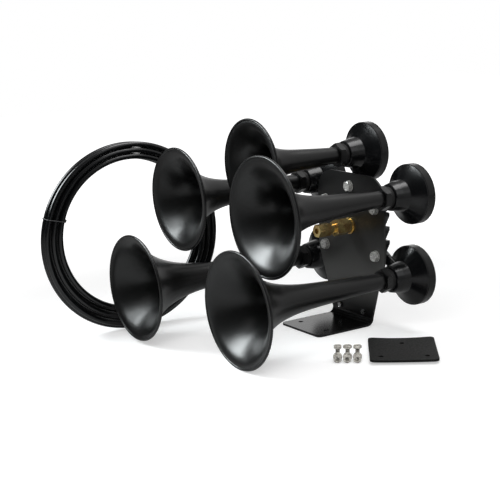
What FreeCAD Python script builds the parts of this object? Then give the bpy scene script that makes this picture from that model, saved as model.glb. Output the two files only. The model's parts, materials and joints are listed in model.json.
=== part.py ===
"""Train air horn with five trumpets on one bent steel bracket.

The bells open towards -Y and the diaphragm housings stand behind the bracket wall.
X = 0 is the plane through the top horn and the air inlet, and Z = 0 is the underside
of the foot.  The origin lies midway between the two front bolt holes of the foot.
All lengths are in millimetres.
"""

import FreeCAD
import Part

import math
import os

import Sketcher

# Driving dimensions
SIZES = {
    # where the horns stand
    "cap_plane": 97.0,
    "side_offset": 98.0,
    "top_height": 244.5,
    "upper_height": 194.5,
    "lower_height": 79.5,
    # trumpet lengths from the mouth to the cap plane, and mouth radii
    "top_length": 195.0,
    "right_upper_length": 243.0,
    "right_lower_length": 288.0,
    "left_upper_length": 254.0,
    "left_lower_length": 330.0,
    "top_mouth": 65.5,
    "right_upper_mouth": 80.5,
    "right_lower_mouth": 78.5,
    "left_upper_mouth": 73.0,
    "left_lower_mouth": 74.5,
    # trumpet wall and lip
    "stub_radius": 11.5,
    "trumpet_wall": 2.2,
    "lip_radius": 1.9,
    # lock nut and seal on the trumpet stub
    "nut_front": 51.0,
    "nut_flats": 30.0,
    "nut_length": 9.5,
    "nut_chamfer": 1.5,
    "stub_seal_radius": 15.0,
    "stub_seal_length": 5.5,
    "stub_fit": 0.1,
    # diaphragm housing
    "neck_front_radius": 18.5,
    "neck_middle_radius": 20.7,
    "neck_rear_radius": 22.5,
    "neck_chamfer": 1.0,
    "neck_length": 21.5,
    "socket_depth": 8.0,
    "cone_radius": 41.5,
    "cone_curve": 90.0,
    "housing_wall": 3.4,
    "nozzle_wall": 2.7,
    "spigot_radius": 38.0,
    "spigot_length": 5.0,
    "port_reach": 37.5,
    "air_bore": 3.0,
    # diaphragm and clamp ring
    "clamp_inner": 34.0,
    "clamp_length": 1.6,
    "diaphragm_radius": 33.5,
    "diaphragm_thickness": 0.8,
    "diaphragm_lift": 0.3,
    # rear cap
    "cap_radius": 42.0,
    "cap_length": 13.6,
    "cap_roof": 3.0,
    "cap_thread_fit": 0.3,
    "cap_step_radius": 35.0,
    "cap_chamfer": 1.5,
    "cap_dish_radius": 31.0,
    "cap_dish_depth": 1.0,
    "cap_centre_radius": 8.0,
    "cap_notch_radius": 1.5,
    "cap_notch_length": 4.5,
    # bracket
    "sheet": 3.0,
    "bend_inner": 8.0,
    "wall_front": 71.0,
    "foot_half_width": 46.0,
    "foot_front": 24.0,
    "foot_corner": 7.0,
    "wall_half_width": 76.0,
    "wall_top": 216.5,
    "wall_corner": 33.5,
    "wall_waist_half_width": 60.0,
    "wall_waist_height": 56.0,
    "wall_shoulder_height": 98.0,
    "foot_bolt_half_spacing": 30.0,
    "foot_rear_hole": 58.0,
    "foot_hole_radius": 3.5,
    # air manifold
    "hub_height": 140.0,
    "hub_depth": 20.0,
    "hub_chamber_radius": 13.0,
    "hub_chamber_length": 9.0,
    "web_half_width": 66.0,
    "web_gap": 1.0,
    "tooth_depth": 9.0,
    "tooth_tip": 5.0,
    "web_depth": 8.0,
    "arm_depth": 11.0,
    "arm_radius": 7.0,
    "hub_radius": 21.0,
    "arm_bolt_offset": 47.0,
    "arm_pad_radius": 8.0,
    "arm_pad_depth": 12.0,
    "port_seal_length": 1.2,
    "port_seal_radius": 5.8,
    # bolts through the wall
    "wall_bolt_radius": 4.0,
    "wall_bolt_flats": 13.0,
    "wall_bolt_head": 5.3,
    "wall_bolt_grip": 6.5,
    "wall_washer_radius": 8.0,
    "wall_washer_length": 1.6,
    "bolt_fit": 0.2,
    # small screws near the bend
    "low_screw_half_spacing": 27.0,
    "low_screw_height": 17.0,
    "low_screw_radius": 2.0,
    "low_screw_flats": 7.0,
    "low_screw_head": 2.8,
    "low_nut_length": 3.2,
    # air inlet
    "inlet_washer_radius": 12.0,
    "inlet_washer_length": 3.0,
    "inlet_thread_radius": 8.0,
    "inlet_thread_length": 11.0,
    "inlet_flange_radius": 10.5,
    "inlet_flange_length": 5.0,
    "inlet_hex_flats": 21.0,
    "inlet_hex_length": 22.0,
    "inlet_neck_radius": 6.5,
    "inlet_neck_length": 8.5,
    "inlet_nut_flats": 17.0,
    "inlet_nut_length": 22.0,
    "inlet_nut_wall": 3.0,
    "inlet_tail_radius": 5.8,
    "inlet_tail_length": 9.0,
    "sleeve_length": 7.0,
    "hose_radius": 4.0,
    "hose_fit": 0.15,
    # hose coil
    "coil_mean_radius": 121.3,
    "coil_pitch": 8.5,
    "coil_fan": 2.8,
    "coil_x": -175.0,
    "coil_y": -191.5,
    "tie_radius": 0.9,
    "tie_gap": 0.4,
    # rubber pad and loose fixings
    "pad_width": 90.0,
    "pad_length": 101.0,
    "pad_thickness": 3.0,
    "pad_corner": 7.0,
    "pad_x": 175.0,
    "pad_y": 19.0,
    "pad_rear_edge": 25.0,
    "fixing_radius": 3.0,
    "fixing_flats": 10.0,
    "fixing_head": 4.0,
    "fixing_length": 16.0,
    "fixing_washer_radius": 6.0,
    "fixing_washer_length": 1.6,
    "fixing_nut_length": 6.0,
    "fixing_pitch": 13.0,
    "fixing_x": 162.0,
    "fixing_y": -64.0,
    "fixing_row_gap": 14.0,
    "cut_overrun": 1.0,
}

# Counts, angles in degrees and shares
CAP_NOTCHES = 24
WEB_TEETH = 3
COIL_LAYER_TURNS = 3
COIL_START_ANGLE = 290.0
COIL_FAN_ANGLE = 181.0
COIL_YAW_ANGLE = -5.0
TIE_ANGLE = 163.0
PAD_ANGLE = 53.0
FIXING_ANGLE = 50.0
WASHER_LEAN = 12.0
FIXING_COUNT = 3

# Flare of a bell from its mouth to the lock nut: share of the length, share of the rise in radius
FLARE_SHARES = (
    (0.022, 0.845), (0.05, 0.705), (0.09, 0.556), (0.14, 0.415), (0.19, 0.315), (0.231, 0.252),
    (0.30, 0.180), (0.40, 0.117), (0.52, 0.079), (0.66, 0.052), (0.80, 0.026), (0.92, 0.008),
)

# name, side of the bracket, height and the two own sizes of each horn
HORNS = (
    ("top_horn", 0, "top_height", "top_length", "top_mouth"),
    ("right_upper_horn", 1, "upper_height", "right_upper_length", "right_upper_mouth"),
    ("right_lower_horn", 1, "lower_height", "right_lower_length", "right_lower_mouth"),
    ("left_upper_horn", -1, "upper_height", "left_upper_length", "left_upper_mouth"),
    ("left_lower_horn", -1, "lower_height", "left_lower_length", "left_lower_mouth"),
)

V = FreeCAD.Vector


class Size:
    """A length that carries its value and the sheet expression it comes from."""

    def __init__(self, value, text):
        self.value = float(value)
        self.text = text

    def __add__(self, other):
        other = as_size(other)
        return Size(self.value + other.value, f"({self.text} + {other.text})")

    def __sub__(self, other):
        other = as_size(other)
        return Size(self.value - other.value, f"({self.text} - {other.text})")

    def __mul__(self, factor):
        factor = as_size(factor)
        return Size(self.value * factor.value, f"({self.text} * {factor.text})")

    def __truediv__(self, other):
        return Size(self.value / other.value, f"({self.text} / {other.text})")

    def __neg__(self):
        return self * -1

    __rmul__ = __mul__


def as_size(value):
    return value if isinstance(value, Size) else Size(value, f"{value:.9g}")


doc = FreeCAD.newDocument("train_air_horn")
sheet = doc.addObject("Spreadsheet::Sheet", "Sizes")
size = {}
for row, (name, value) in enumerate(SIZES.items(), start=1):
    sheet.set(f"A{row}", name)
    sheet.set(f"B{row}", str(value))
    sheet.setAlias(f"B{row}", name)
    size[name] = Size(value, f"Sizes.{name}")
doc.recompute()

ZERO = Size(0, "0")
FACE_FORWARD = FreeCAD.Rotation(V(1, 0, 0), 90)
nodes = {}


def bind(obj, prop, length):
    """Set a property to a size and tie it to the sheet."""
    obj.setExpression(prop, as_size(length).text)


def place(obj, at, turn=None):
    """Put an object at a point given in sizes."""
    at = [as_size(step) for step in at]
    obj.Placement = FreeCAD.Placement(V(*[step.value for step in at]), turn or FreeCAD.Rotation())
    for axis, step in zip("xyz", at):
        bind(obj, f"Placement.Base.{axis}", step)


def new_body(label, at=(0, 0, 0), turn=None):
    body = doc.addObject("PartDesign::Body", label)
    body.Label = label
    place(body, at, turn)
    nodes[label] = body
    return body


def origin_plane(body, role):
    return [item for item in body.Origin.OriginFeatures if item.Role == role][0]


def new_sketch(body, role):
    sketch = body.newObject("Sketcher::SketchObject", f"{body.Name}_sketch")
    sketch.AttachmentSupport = [(origin_plane(body, role), "")]
    sketch.MapMode = "FlatFace"
    return sketch


def constrain(sketch, kind, index, point, length):
    """Hold a point of one edge at a signed distance from the sketch origin."""
    number = sketch.addConstraint(Sketcher.Constraint(kind, -1, 1, index, point, length.value))
    bind(sketch, f"Constraints[{number}]", length)


def arc_between(start, end, bow):
    """Arc from start to end, and the number of its own end that lies at start.

    A positive bow is the radius of an arc that swells to the left of the way from start
    to end, and a negative one swells to the right.
    """
    chord = end - start
    left = V(-chord.y, chord.x, 0).normalize()
    depth = math.sqrt(bow * bow - (chord.Length / 2) ** 2)
    centre = (start + end) * 0.5 - left * math.copysign(depth, bow)
    circle = Part.Circle(centre, V(0, 0, 1), abs(bow))
    start_angle, end_angle = [math.atan2(spot.y - centre.y, spot.x - centre.x) for spot in (start, end)]
    if bow < 0:
        return Part.ArcOfCircle(circle, start_angle, end_angle), 1
    return Part.ArcOfCircle(circle, end_angle, start_angle), 2


def outline(body, role, points):
    """Closed outline; a point may hold a third entry, the bow of the arc that leaves it."""
    sketch = new_sketch(body, role)
    places = [(as_size(point[0]), as_size(point[1])) for point in points]
    bows = [point[2] if len(point) > 2 else None for point in points]
    corners = [V(across.value, up.value, 0) for across, up in places]
    leaving = []
    for index, start in enumerate(corners):
        end = corners[(index + 1) % len(corners)]
        shape, own_end = Part.LineSegment(start, end), 1
        if bows[index]:
            shape, own_end = arc_between(start, end, bows[index].value)
        sketch.addGeometry(shape)
        leaving.append(own_end)
    for index, (across, up) in enumerate(places):
        following = (index + 1) % len(places)
        constrain(sketch, "DistanceX", index, leaving[index], across)
        constrain(sketch, "DistanceY", index, leaving[index], up)
        sketch.addConstraint(
            Sketcher.Constraint("Coincident", index, 3 - leaving[index], following, leaving[following]))
        if bows[index]:
            hold_radius(sketch, index, bows[index])
    return sketch


def hold_radius(sketch, index, radius):
    """Tie the radius of a circle or arc to a size, whichever way the arc bows."""
    radius = radius if radius.value > 0 else -radius
    number = sketch.addConstraint(Sketcher.Constraint("Radius", index, radius.value))
    bind(sketch, f"Constraints[{number}]", radius)


def circles(body, role, places, radius):
    """Sketch of equal circles."""
    sketch = new_sketch(body, role)
    for index, (across, up) in enumerate(places):
        across, up = as_size(across), as_size(up)
        sketch.addGeometry(Part.Circle(V(across.value, up.value, 0), V(0, 0, 1), radius.value))
        constrain(sketch, "DistanceX", index, 3, across)
        constrain(sketch, "DistanceY", index, 3, up)
        hold_radius(sketch, index, radius)
    return sketch


def revolve(body, points, cut=False):
    """Turn an outline (radius, height) about the body's own Z."""
    sketch = outline(body, "XZ_Plane", points)
    kind = "PartDesign::Groove" if cut else "PartDesign::Revolution"
    turned = body.newObject(kind, f"{body.Name}_turned")
    turned.Profile = sketch
    turned.ReferenceAxis = (sketch, ["V_Axis"])
    turned.Angle = 360
    return turned


def pad(body, sketch, length, back=False, both=False):
    feature = body.newObject("PartDesign::Pad", f"{body.Name}_pad")
    feature.Profile = sketch
    bind(feature, "Length", length)
    feature.Reversed = back
    feature.Midplane = both
    return feature


def pocket(body, sketch, length):
    """Cut both ways from the sketch, so the cut has no wrong side."""
    feature = body.newObject("PartDesign::Pocket", f"{body.Name}_pocket")
    feature.Profile = sketch
    bind(feature, "Length", length)
    feature.Midplane = True
    return feature


def cylinder(body, radius, length, at, turn=None, cut=False):
    kind = "PartDesign::SubtractiveCylinder" if cut else "PartDesign::AdditiveCylinder"
    feature = body.newObject(kind, f"{body.Name}_cylinder")
    bind(feature, "Radius", radius)
    bind(feature, "Height", length)
    place(feature, at, turn)
    return feature


def ring_points(inner, outer, low, high):
    return [(inner, low), (outer, low), (outer, high), (inner, high)]


def hexagon(flats, turned=0.0):
    reach = flats * (1 / math.sqrt(3))
    angles = [math.radians(60 * step + turned) for step in range(6)]
    return [(reach * math.cos(angle), reach * math.sin(angle)) for angle in angles]


def solids(label, shapes):
    """Several separate solids under one name."""
    feature = doc.addObject("Part::Feature", label)
    feature.Label = label
    feature.Shape = Part.makeCompound(shapes) if len(shapes) > 1 else shapes[0]
    nodes[label] = feature
    return feature


def horn_place(side, height_name):
    return (size["side_offset"] * side, size["cap_plane"], size[height_name])


def towards_hub(side, height_name):
    """Unit direction in the wall plane from a horn's axis to the hub, and the distance."""
    across = size["side_offset"] * -side
    up = size["hub_height"] - size[height_name]
    value = math.hypot(across.value, up.value)
    distance = Size(value, f"sqrt({across.text} * {across.text} + {up.text} * {up.text})")
    return across.value / value, up.value / value, distance


def port_plane():
    """Distance of the air ports in front of the cap plane."""
    return size["cap_plane"] - size["wall_front"] - size["sheet"] - size["arm_depth"]


def make_trumpet(name, side, height_name, length_name, mouth_name):
    """Bell, throat and threaded stub as one spun and turned piece."""
    length = size[length_name].value
    mouth = size[mouth_name].value
    bead = size["lip_radius"].value
    stub = size["stub_radius"].value
    wall = size["trumpet_wall"].value
    nut_front = size["nut_front"].value
    stub_end = nut_front - size["nut_length"].value - size["stub_seal_length"].value
    stub_end -= size["socket_depth"].value
    run = length - nut_front
    rise = mouth - stub
    centre = V(mouth - bead, 0, length - bead)
    back = centre + V(-bead * math.cos(math.radians(60)), 0, -bead * math.sin(math.radians(60)))
    front = centre + V(-bead * math.cos(math.radians(30)), 0, bead * math.sin(math.radians(30)))
    outside = [back]
    outside += [V(stub + rise * lift, 0, length - run * way) for way, lift in FLARE_SHARES]
    outside += [V(stub, 0, nut_front)]
    inside = []
    for index in range(1, len(outside)):
        before = outside[index - 1]
        after = outside[min(index + 1, len(outside) - 1)]
        along = after - before
        normal = V(along.z, 0, -along.x).normalize()
        inside.append(outside[index] + normal * wall)
    inside[-1] = V(stub - wall, 0, nut_front)
    inside = [front] + inside
    outer_curve = Part.BSplineCurve()
    outer_curve.interpolate(Points=outside)
    inner_curve = Part.BSplineCurve()
    inner_curve.interpolate(Points=inside)
    tip = centre + V(bead, 0, 0)
    lip = Part.Arc(back, tip, front)
    corners = [V(stub, 0, nut_front), V(stub, 0, stub_end), V(stub - wall, 0, stub_end)]
    corners.append(V(stub - wall, 0, nut_front))
    edges = [outer_curve.toShape(), lip.toShape(), inner_curve.toShape()]
    edges += [Part.makeLine(corners[index], corners[index + 1]) for index in range(3)]
    profile = Part.Face(Part.Wire(Part.__sortEdges__(edges)))
    feature = solids(f"{name}_trumpet", [profile.revolve(V(0, 0, 0), V(0, 0, 1), 360)])
    place(feature, horn_place(side, height_name), FACE_FORWARD)


def make_lock_nut(name, side, height_name):
    body = new_body(f"{name}_lock_nut", horn_place(side, height_name), FACE_FORWARD)
    low = size["nut_front"] - size["nut_length"]
    sketch = outline(body, "XY_Plane", hexagon(size["nut_flats"], 30))
    bind_offset(sketch, low)
    pad(body, sketch, size["nut_length"])
    bore = size["stub_radius"] + size["stub_fit"]
    over = size["cut_overrun"]
    cylinder(body, bore, size["nut_length"] + over * 2, (0, 0, low - over), cut=True)
    reach = size["nut_flats"] * (1 / math.sqrt(3))
    edge = size["nut_chamfer"]
    high = size["nut_front"]
    revolve(body, [(reach - edge, high), (reach + over, high - edge - over), (reach + over, high)], cut=True)
    revolve(body, [(reach - edge, low), (reach + over, low), (reach + over, low + edge + over)], cut=True)


def bind_offset(sketch, height):
    """Lift a sketch off its plane by a size."""
    sketch.AttachmentOffset = FreeCAD.Placement(V(0, 0, height.value), FreeCAD.Rotation())
    bind(sketch, "AttachmentOffset.Base.z", height)


def make_stub_seal(name, side, height_name):
    body = new_body(f"{name}_stub_seal", horn_place(side, height_name), FACE_FORWARD)
    high = size["nut_front"] - size["nut_length"]
    low = high - size["stub_seal_length"]
    revolve(body, ring_points(size["stub_radius"] + size["stub_fit"], size["stub_seal_radius"], low, high))


def make_housing(name, side, height_name):
    """Neck, flared cone and nozzle in one casting, with the air port at its side."""
    body = new_body(f"{name}_housing", horn_place(side, height_name), FACE_FORWARD)
    front = size["nut_front"] - size["nut_length"] - size["stub_seal_length"]
    neck_back = front - size["neck_length"]
    edge = size["neck_chamfer"]
    socket = size["stub_radius"] + size["stub_fit"]
    bore = size["stub_radius"] - size["trumpet_wall"]
    nozzle = bore + size["nozzle_wall"]
    spigot = size["spigot_radius"]
    end = -size["spigot_length"]
    wall = size["housing_wall"]
    revolve(body, [
        (socket, front),
        (size["neck_front_radius"] - edge, front),
        (size["neck_front_radius"], front - edge),
        (size["neck_middle_radius"], front - size["neck_length"] * 0.5),
        (size["neck_rear_radius"], neck_back, -size["cone_curve"]),
        (size["cone_radius"], edge),
        (size["cone_radius"], ZERO),
        (spigot, ZERO),
        (spigot, end),
        (bore, end),
        (bore, front - size["socket_depth"]),
        (socket, front - size["socket_depth"]),
    ])
    across, up, _ = towards_hub(side, height_name)
    turn = FreeCAD.Rotation(V(0, 0, 1), V(across, up, 0))
    start = size["neck_front_radius"]
    cylinder(body, size["arm_radius"], size["port_reach"] - start,
             (start * across, start * up, port_plane()), turn)
    revolve(body, [
        (nozzle, end - size["cut_overrun"]),
        (size["clamp_inner"], end - size["cut_overrun"]),
        (size["clamp_inner"], ZERO),
        (size["neck_rear_radius"] + wall * 0.5, port_plane() * 0.5),
        (size["neck_rear_radius"] - wall, port_plane()),
        (size["neck_rear_radius"] - wall, port_plane() + size["air_bore"]),
        (nozzle, port_plane() + size["air_bore"] * 2),
    ], cut=True)
    inner = nozzle + size["nozzle_wall"] * 0.5
    cylinder(body, size["air_bore"], size["port_reach"] - inner + size["cut_overrun"],
             (inner * across, inner * up, port_plane()), turn, cut=True)


def make_clamp_ring(name, side, height_name):
    body = new_body(f"{name}_clamp_ring", horn_place(side, height_name), FACE_FORWARD)
    high = -size["spigot_length"]
    low = high - size["clamp_length"]
    revolve(body, ring_points(size["clamp_inner"], size["spigot_radius"], low, high))


def make_diaphragm(name, side, height_name):
    body = new_body(f"{name}_diaphragm", horn_place(side, height_name), FACE_FORWARD)
    high = -size["spigot_length"] - size["diaphragm_lift"]
    low = high - size["diaphragm_thickness"]
    radius = size["diaphragm_radius"]
    revolve(body, [(ZERO, low), (radius, low), (radius, high), (ZERO, high)])


def make_cap(name, side, height_name):
    """Screwed rear cap with grip notches round its back edge."""
    body = new_body(f"{name}_cap", horn_place(side, height_name), FACE_FORWARD)
    radius = size["cap_radius"]
    edge = size["cap_chamfer"]
    back = -size["cap_length"]
    roof = back + size["cap_roof"]
    dish = back + size["cap_dish_depth"]
    ledge = -size["spigot_length"] - size["clamp_length"]
    bore = size["spigot_radius"] + size["cap_thread_fit"]
    step = size["cap_dish_depth"]
    revolve(body, [
        (bore, ZERO),
        (bore, ledge),
        (size["cap_step_radius"], ledge),
        (size["cap_step_radius"], roof),
        (ZERO, roof),
        (ZERO, back),
        (size["cap_centre_radius"], back),
        (size["cap_centre_radius"] + step, dish),
        (size["cap_dish_radius"], dish),
        (size["cap_dish_radius"] + step, back),
        (radius - edge, back),
        (radius, back + edge),
        (radius, -edge * 0.4),
        (radius - edge * 0.4, ZERO),
    ])
    notch = cylinder(body, size["cap_notch_radius"], size["cap_notch_length"] + size["cut_overrun"],
                     (radius, 0, back - size["cut_overrun"]), cut=True)
    repeat(body, notch, CAP_NOTCHES)


def repeat(body, feature, count):
    """Polar pattern about the body's Z."""
    pattern = body.newObject("PartDesign::PolarPattern", f"{body.Name}_pattern")
    pattern.Originals = [feature]
    pattern.Axis = (origin_plane(body, "Z_Axis"), [""])
    pattern.Angle = 360
    pattern.Occurrences = count
    body.Tip = pattern


def make_bracket():
    """One bent sheet: foot, bend and wall."""
    body = new_body("mounting_bracket")
    sheet_thickness = size["sheet"]
    inner = size["bend_inner"]
    outer = inner + sheet_thickness
    front = size["wall_front"]
    bend_start = front - inner
    half = size["foot_half_width"]
    corner = size["foot_corner"]
    nose = -size["foot_front"]
    foot = outline(body, "XY_Plane", [
        (-half, bend_start),
        (-half, nose + corner, corner * -1),
        (corner - half, nose),
        (half - corner, nose, corner * -1),
        (half, nose + corner),
        (half, bend_start),
    ])
    pad(body, foot, sheet_thickness)
    bend = outline(body, "YZ_Plane", [
        (bend_start, ZERO, outer * -1),
        (front + sheet_thickness, outer),
        (front, outer, inner),
        (bend_start, sheet_thickness),
    ])
    pad(body, bend, half * 2, both=True)
    waist = size["wall_waist_half_width"]
    shoulder = size["wall_half_width"]
    turn = size["wall_corner"]
    top = size["wall_top"]
    wall = outline(body, "XZ_Plane", [
        (-half, outer),
        (half, outer),
        (waist, size["wall_waist_height"]),
        (shoulder, size["wall_shoulder_height"]),
        (shoulder, top - turn, turn * -1),
        (shoulder - turn, top),
        (turn - shoulder, top, turn * -1),
        (-shoulder, top - turn),
        (-shoulder, size["wall_shoulder_height"]),
        (-waist, size["wall_waist_height"]),
    ])
    bind_offset(wall, -(front + sheet_thickness))
    pad(body, wall, sheet_thickness)
    spacing = size["foot_bolt_half_spacing"]
    pocket(body, circles(body, "XY_Plane", [(-spacing, 0), (spacing, 0), (0, size["foot_rear_hole"])],
                         size["foot_hole_radius"]), sheet_thickness * 4)
    through = sheet_thickness * 3 + inner
    wall_holes(body, wall_bolt_places(), size["wall_bolt_radius"] + size["bolt_fit"], through)
    wall_holes(body, [(0, size["hub_height"])], size["inlet_thread_radius"] + size["bolt_fit"], through)
    low = [(size["low_screw_half_spacing"] * side, size["low_screw_height"]) for side in (-1, 1)]
    wall_holes(body, low, size["low_screw_radius"] + size["bolt_fit"], through)


def wall_holes(body, places, radius, through):
    sketch = circles(body, "XZ_Plane", places, radius)
    bind_offset(sketch, -(size["wall_front"] + size["sheet"] * 0.5))
    pocket(body, sketch, through)


def wall_bolt_places():
    """One bolt on each arm, a fixed way in from the horn's axis."""
    places = []
    for _, side, height_name, _, _ in HORNS:
        across, up, _ = towards_hub(side, height_name)
        step = size["arm_bolt_offset"]
        places.append((size["side_offset"] * side + step * across, size[height_name] + step * up))
    return places


def make_manifold():
    """Casting that shares the air out to the five housings and carries them on the wall."""
    back = size["wall_front"] + size["sheet"]
    body = new_body("air_manifold", (0, back, size["hub_height"]), FACE_FORWARD)
    over = size["cut_overrun"]
    web_half = size["web_half_width"]
    tip = web_half + size["tooth_depth"]
    bottom, top = [web_edge(height_name, web_half) for height_name in ("lower_height", "upper_height")]
    step = (top - bottom) * (1 / WEB_TEETH)
    right = []
    for index in range(WEB_TEETH):
        low = bottom + step * index
        right += [(web_half, low), (tip, low + step - size["tooth_tip"]), (tip, low + step)]
    right.append((web_half, top))
    left = [(-across, up) for across, up in reversed(right)]
    web = outline(body, "XY_Plane", right + left)
    pad(body, web, size["web_depth"], back=True)
    pad(body, circles(body, "XY_Plane", [(0, 0)], size["hub_radius"]), size["hub_depth"], back=True)
    axis_depth = -size["arm_depth"]
    arms = [(towards_hub(side, height_name)) for _, side, height_name, _, _ in HORNS]
    root = size["hub_chamber_radius"] * 0.5
    for across, up, distance in arms:
        turn = FreeCAD.Rotation(V(0, 0, 1), V(-across, -up, 0))
        reach = distance - size["port_reach"] - size["port_seal_length"] - root
        cylinder(body, size["arm_radius"], reach, (root * -across, root * -up, axis_depth), turn)
    pads = [(across, up - size["hub_height"]) for across, up in wall_bolt_places()]
    for across, up in pads:
        cylinder(body, size["arm_pad_radius"], size["arm_pad_depth"], (across, up, -size["arm_pad_depth"]))
    for across, up in pads:
        depth = size["wall_bolt_grip"] + over
        radius = size["wall_bolt_radius"] + size["bolt_fit"]
        cylinder(body, radius, depth + over, (across, up, -depth), cut=True)
    for across, up, distance in arms:
        turn = FreeCAD.Rotation(V(0, 0, 1), V(-across, -up, 0))
        cylinder(body, size["air_bore"], distance - size["port_reach"] - root,
                 (root * -across, root * -up, axis_depth), turn, cut=True)
    chamber_front = size["inlet_thread_length"] - size["sheet"]
    cylinder(body, size["inlet_thread_radius"] + size["bolt_fit"], chamber_front + over,
             (0, 0, -chamber_front), cut=True)
    chamber = size["hub_chamber_length"]
    cylinder(body, size["hub_chamber_radius"], chamber, (0, 0, -chamber_front - chamber + over), cut=True)


def web_edge(height_name, across):
    """Height from the hub at which the web's corner just clears the arm and port of a horn."""
    drop = size[height_name] - size["hub_height"]
    slope = (drop / size["side_offset"]).value
    thick = size["arm_radius"] * math.hypot(1, slope) + size["web_gap"]
    return across * slope - thick * math.copysign(1, slope)


def make_port_seals():
    """Five flat rings between the manifold arms and the housings."""
    shapes = []
    for _, side, height_name, _, _ in HORNS:
        across, up, _ = towards_hub(side, height_name)
        direction = V(across, 0, up)
        start = V(size["side_offset"].value * side, size["cap_plane"].value - port_plane().value,
                  size[height_name].value) + direction * size["port_reach"].value
        shapes.append(tube(start, direction, size["air_bore"].value, size["port_seal_radius"].value,
                           size["port_seal_length"].value))
    solids("port_seals", shapes)


def tube(start, direction, inner, outer, length):
    ring = Part.makeCylinder(outer, length, start, direction)
    return ring.cut(Part.makeCylinder(inner, length, start, direction))


def hex_block(start, direction, flats, length):
    """Hexagonal prism on a flat, with the corners of both ends turned off."""
    reach = flats / math.sqrt(3)
    corners = [V(reach * math.cos(math.radians(60 * n)), reach * math.sin(math.radians(60 * n)), 0)
               for n in range(7)]
    block = Part.Face(Part.makePolygon(corners)).extrude(V(0, 0, length))
    slope = (reach - flats / 2) * 0.6
    outer = reach + slope
    rise = outer - flats / 2
    crown = Part.makeCone(flats / 2, outer, rise, V(0, 0, 0), V(0, 0, 1))
    crown = crown.fuse(Part.makeCylinder(outer, length - 2 * rise, V(0, 0, rise)))
    crown = crown.fuse(Part.makeCone(outer, flats / 2, rise, V(0, 0, length - rise)))
    block = block.common(crown.removeSplitter())
    sideways = direction.cross(V(0, 0, 1)) if abs(direction.z) < 0.5 else V(1, 0, 0)
    block.Placement = FreeCAD.Placement(start, FreeCAD.Rotation(sideways, V(0, 0, 0), direction, "ZXY"))
    return block


def bolt(seat, direction, radius, flats, head, length):
    """Hexagon bolt whose head sits on the seat; direction points from the seat to the shank's end."""
    shank = Part.makeCylinder(radius, length, seat, direction)
    return hex_block(seat - direction * head, direction, flats, head).fuse(shank).removeSplitter()


def nut(start, direction, radius, flats, length):
    block = hex_block(start, direction, flats, length)
    return block.cut(Part.makeCylinder(radius, length, start, direction))


def make_wall_fixings():
    """Bolts and washers on the arms, and the two small screws with nuts near the bend."""
    front = size["wall_front"].value
    washer = size["wall_washer_length"].value
    back = V(0, 1, 0)
    fit = size["bolt_fit"].value
    bolts = []
    washers = []
    for across, up in wall_bolt_places():
        seat = V(across.value, front - washer, up.value)
        length = washer + size["sheet"].value + size["wall_bolt_grip"].value
        bolts.append(bolt(seat, back, size["wall_bolt_radius"].value, size["wall_bolt_flats"].value,
                          size["wall_bolt_head"].value, length))
        washers.append(tube(seat, back, size["wall_bolt_radius"].value + fit,
                            size["wall_washer_radius"].value, washer))
    solids("wall_bolts", bolts)
    solids("wall_washers", washers)
    radius = size["low_screw_radius"].value
    screws = []
    nuts = []
    for side in (-1, 1):
        seat = V(size["low_screw_half_spacing"].value * side, front, size["low_screw_height"].value)
        length = size["sheet"].value + size["low_nut_length"].value + size["low_screw_head"].value / 2
        screws.append(bolt(seat, back, radius, size["low_screw_flats"].value,
                           size["low_screw_head"].value, length))
        nuts.append(nut(seat + back * size["sheet"].value, back, radius + fit, size["low_screw_flats"].value,
                        size["low_nut_length"].value))
    solids("low_screws", screws)
    solids("low_screw_nuts", nuts)


def inlet_body(label, front):
    """Body on the inlet's axis whose own Z runs towards the hose, starting at the given Y."""
    return new_body(label, (0, front, size["hub_height"]), FACE_FORWARD)


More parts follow.
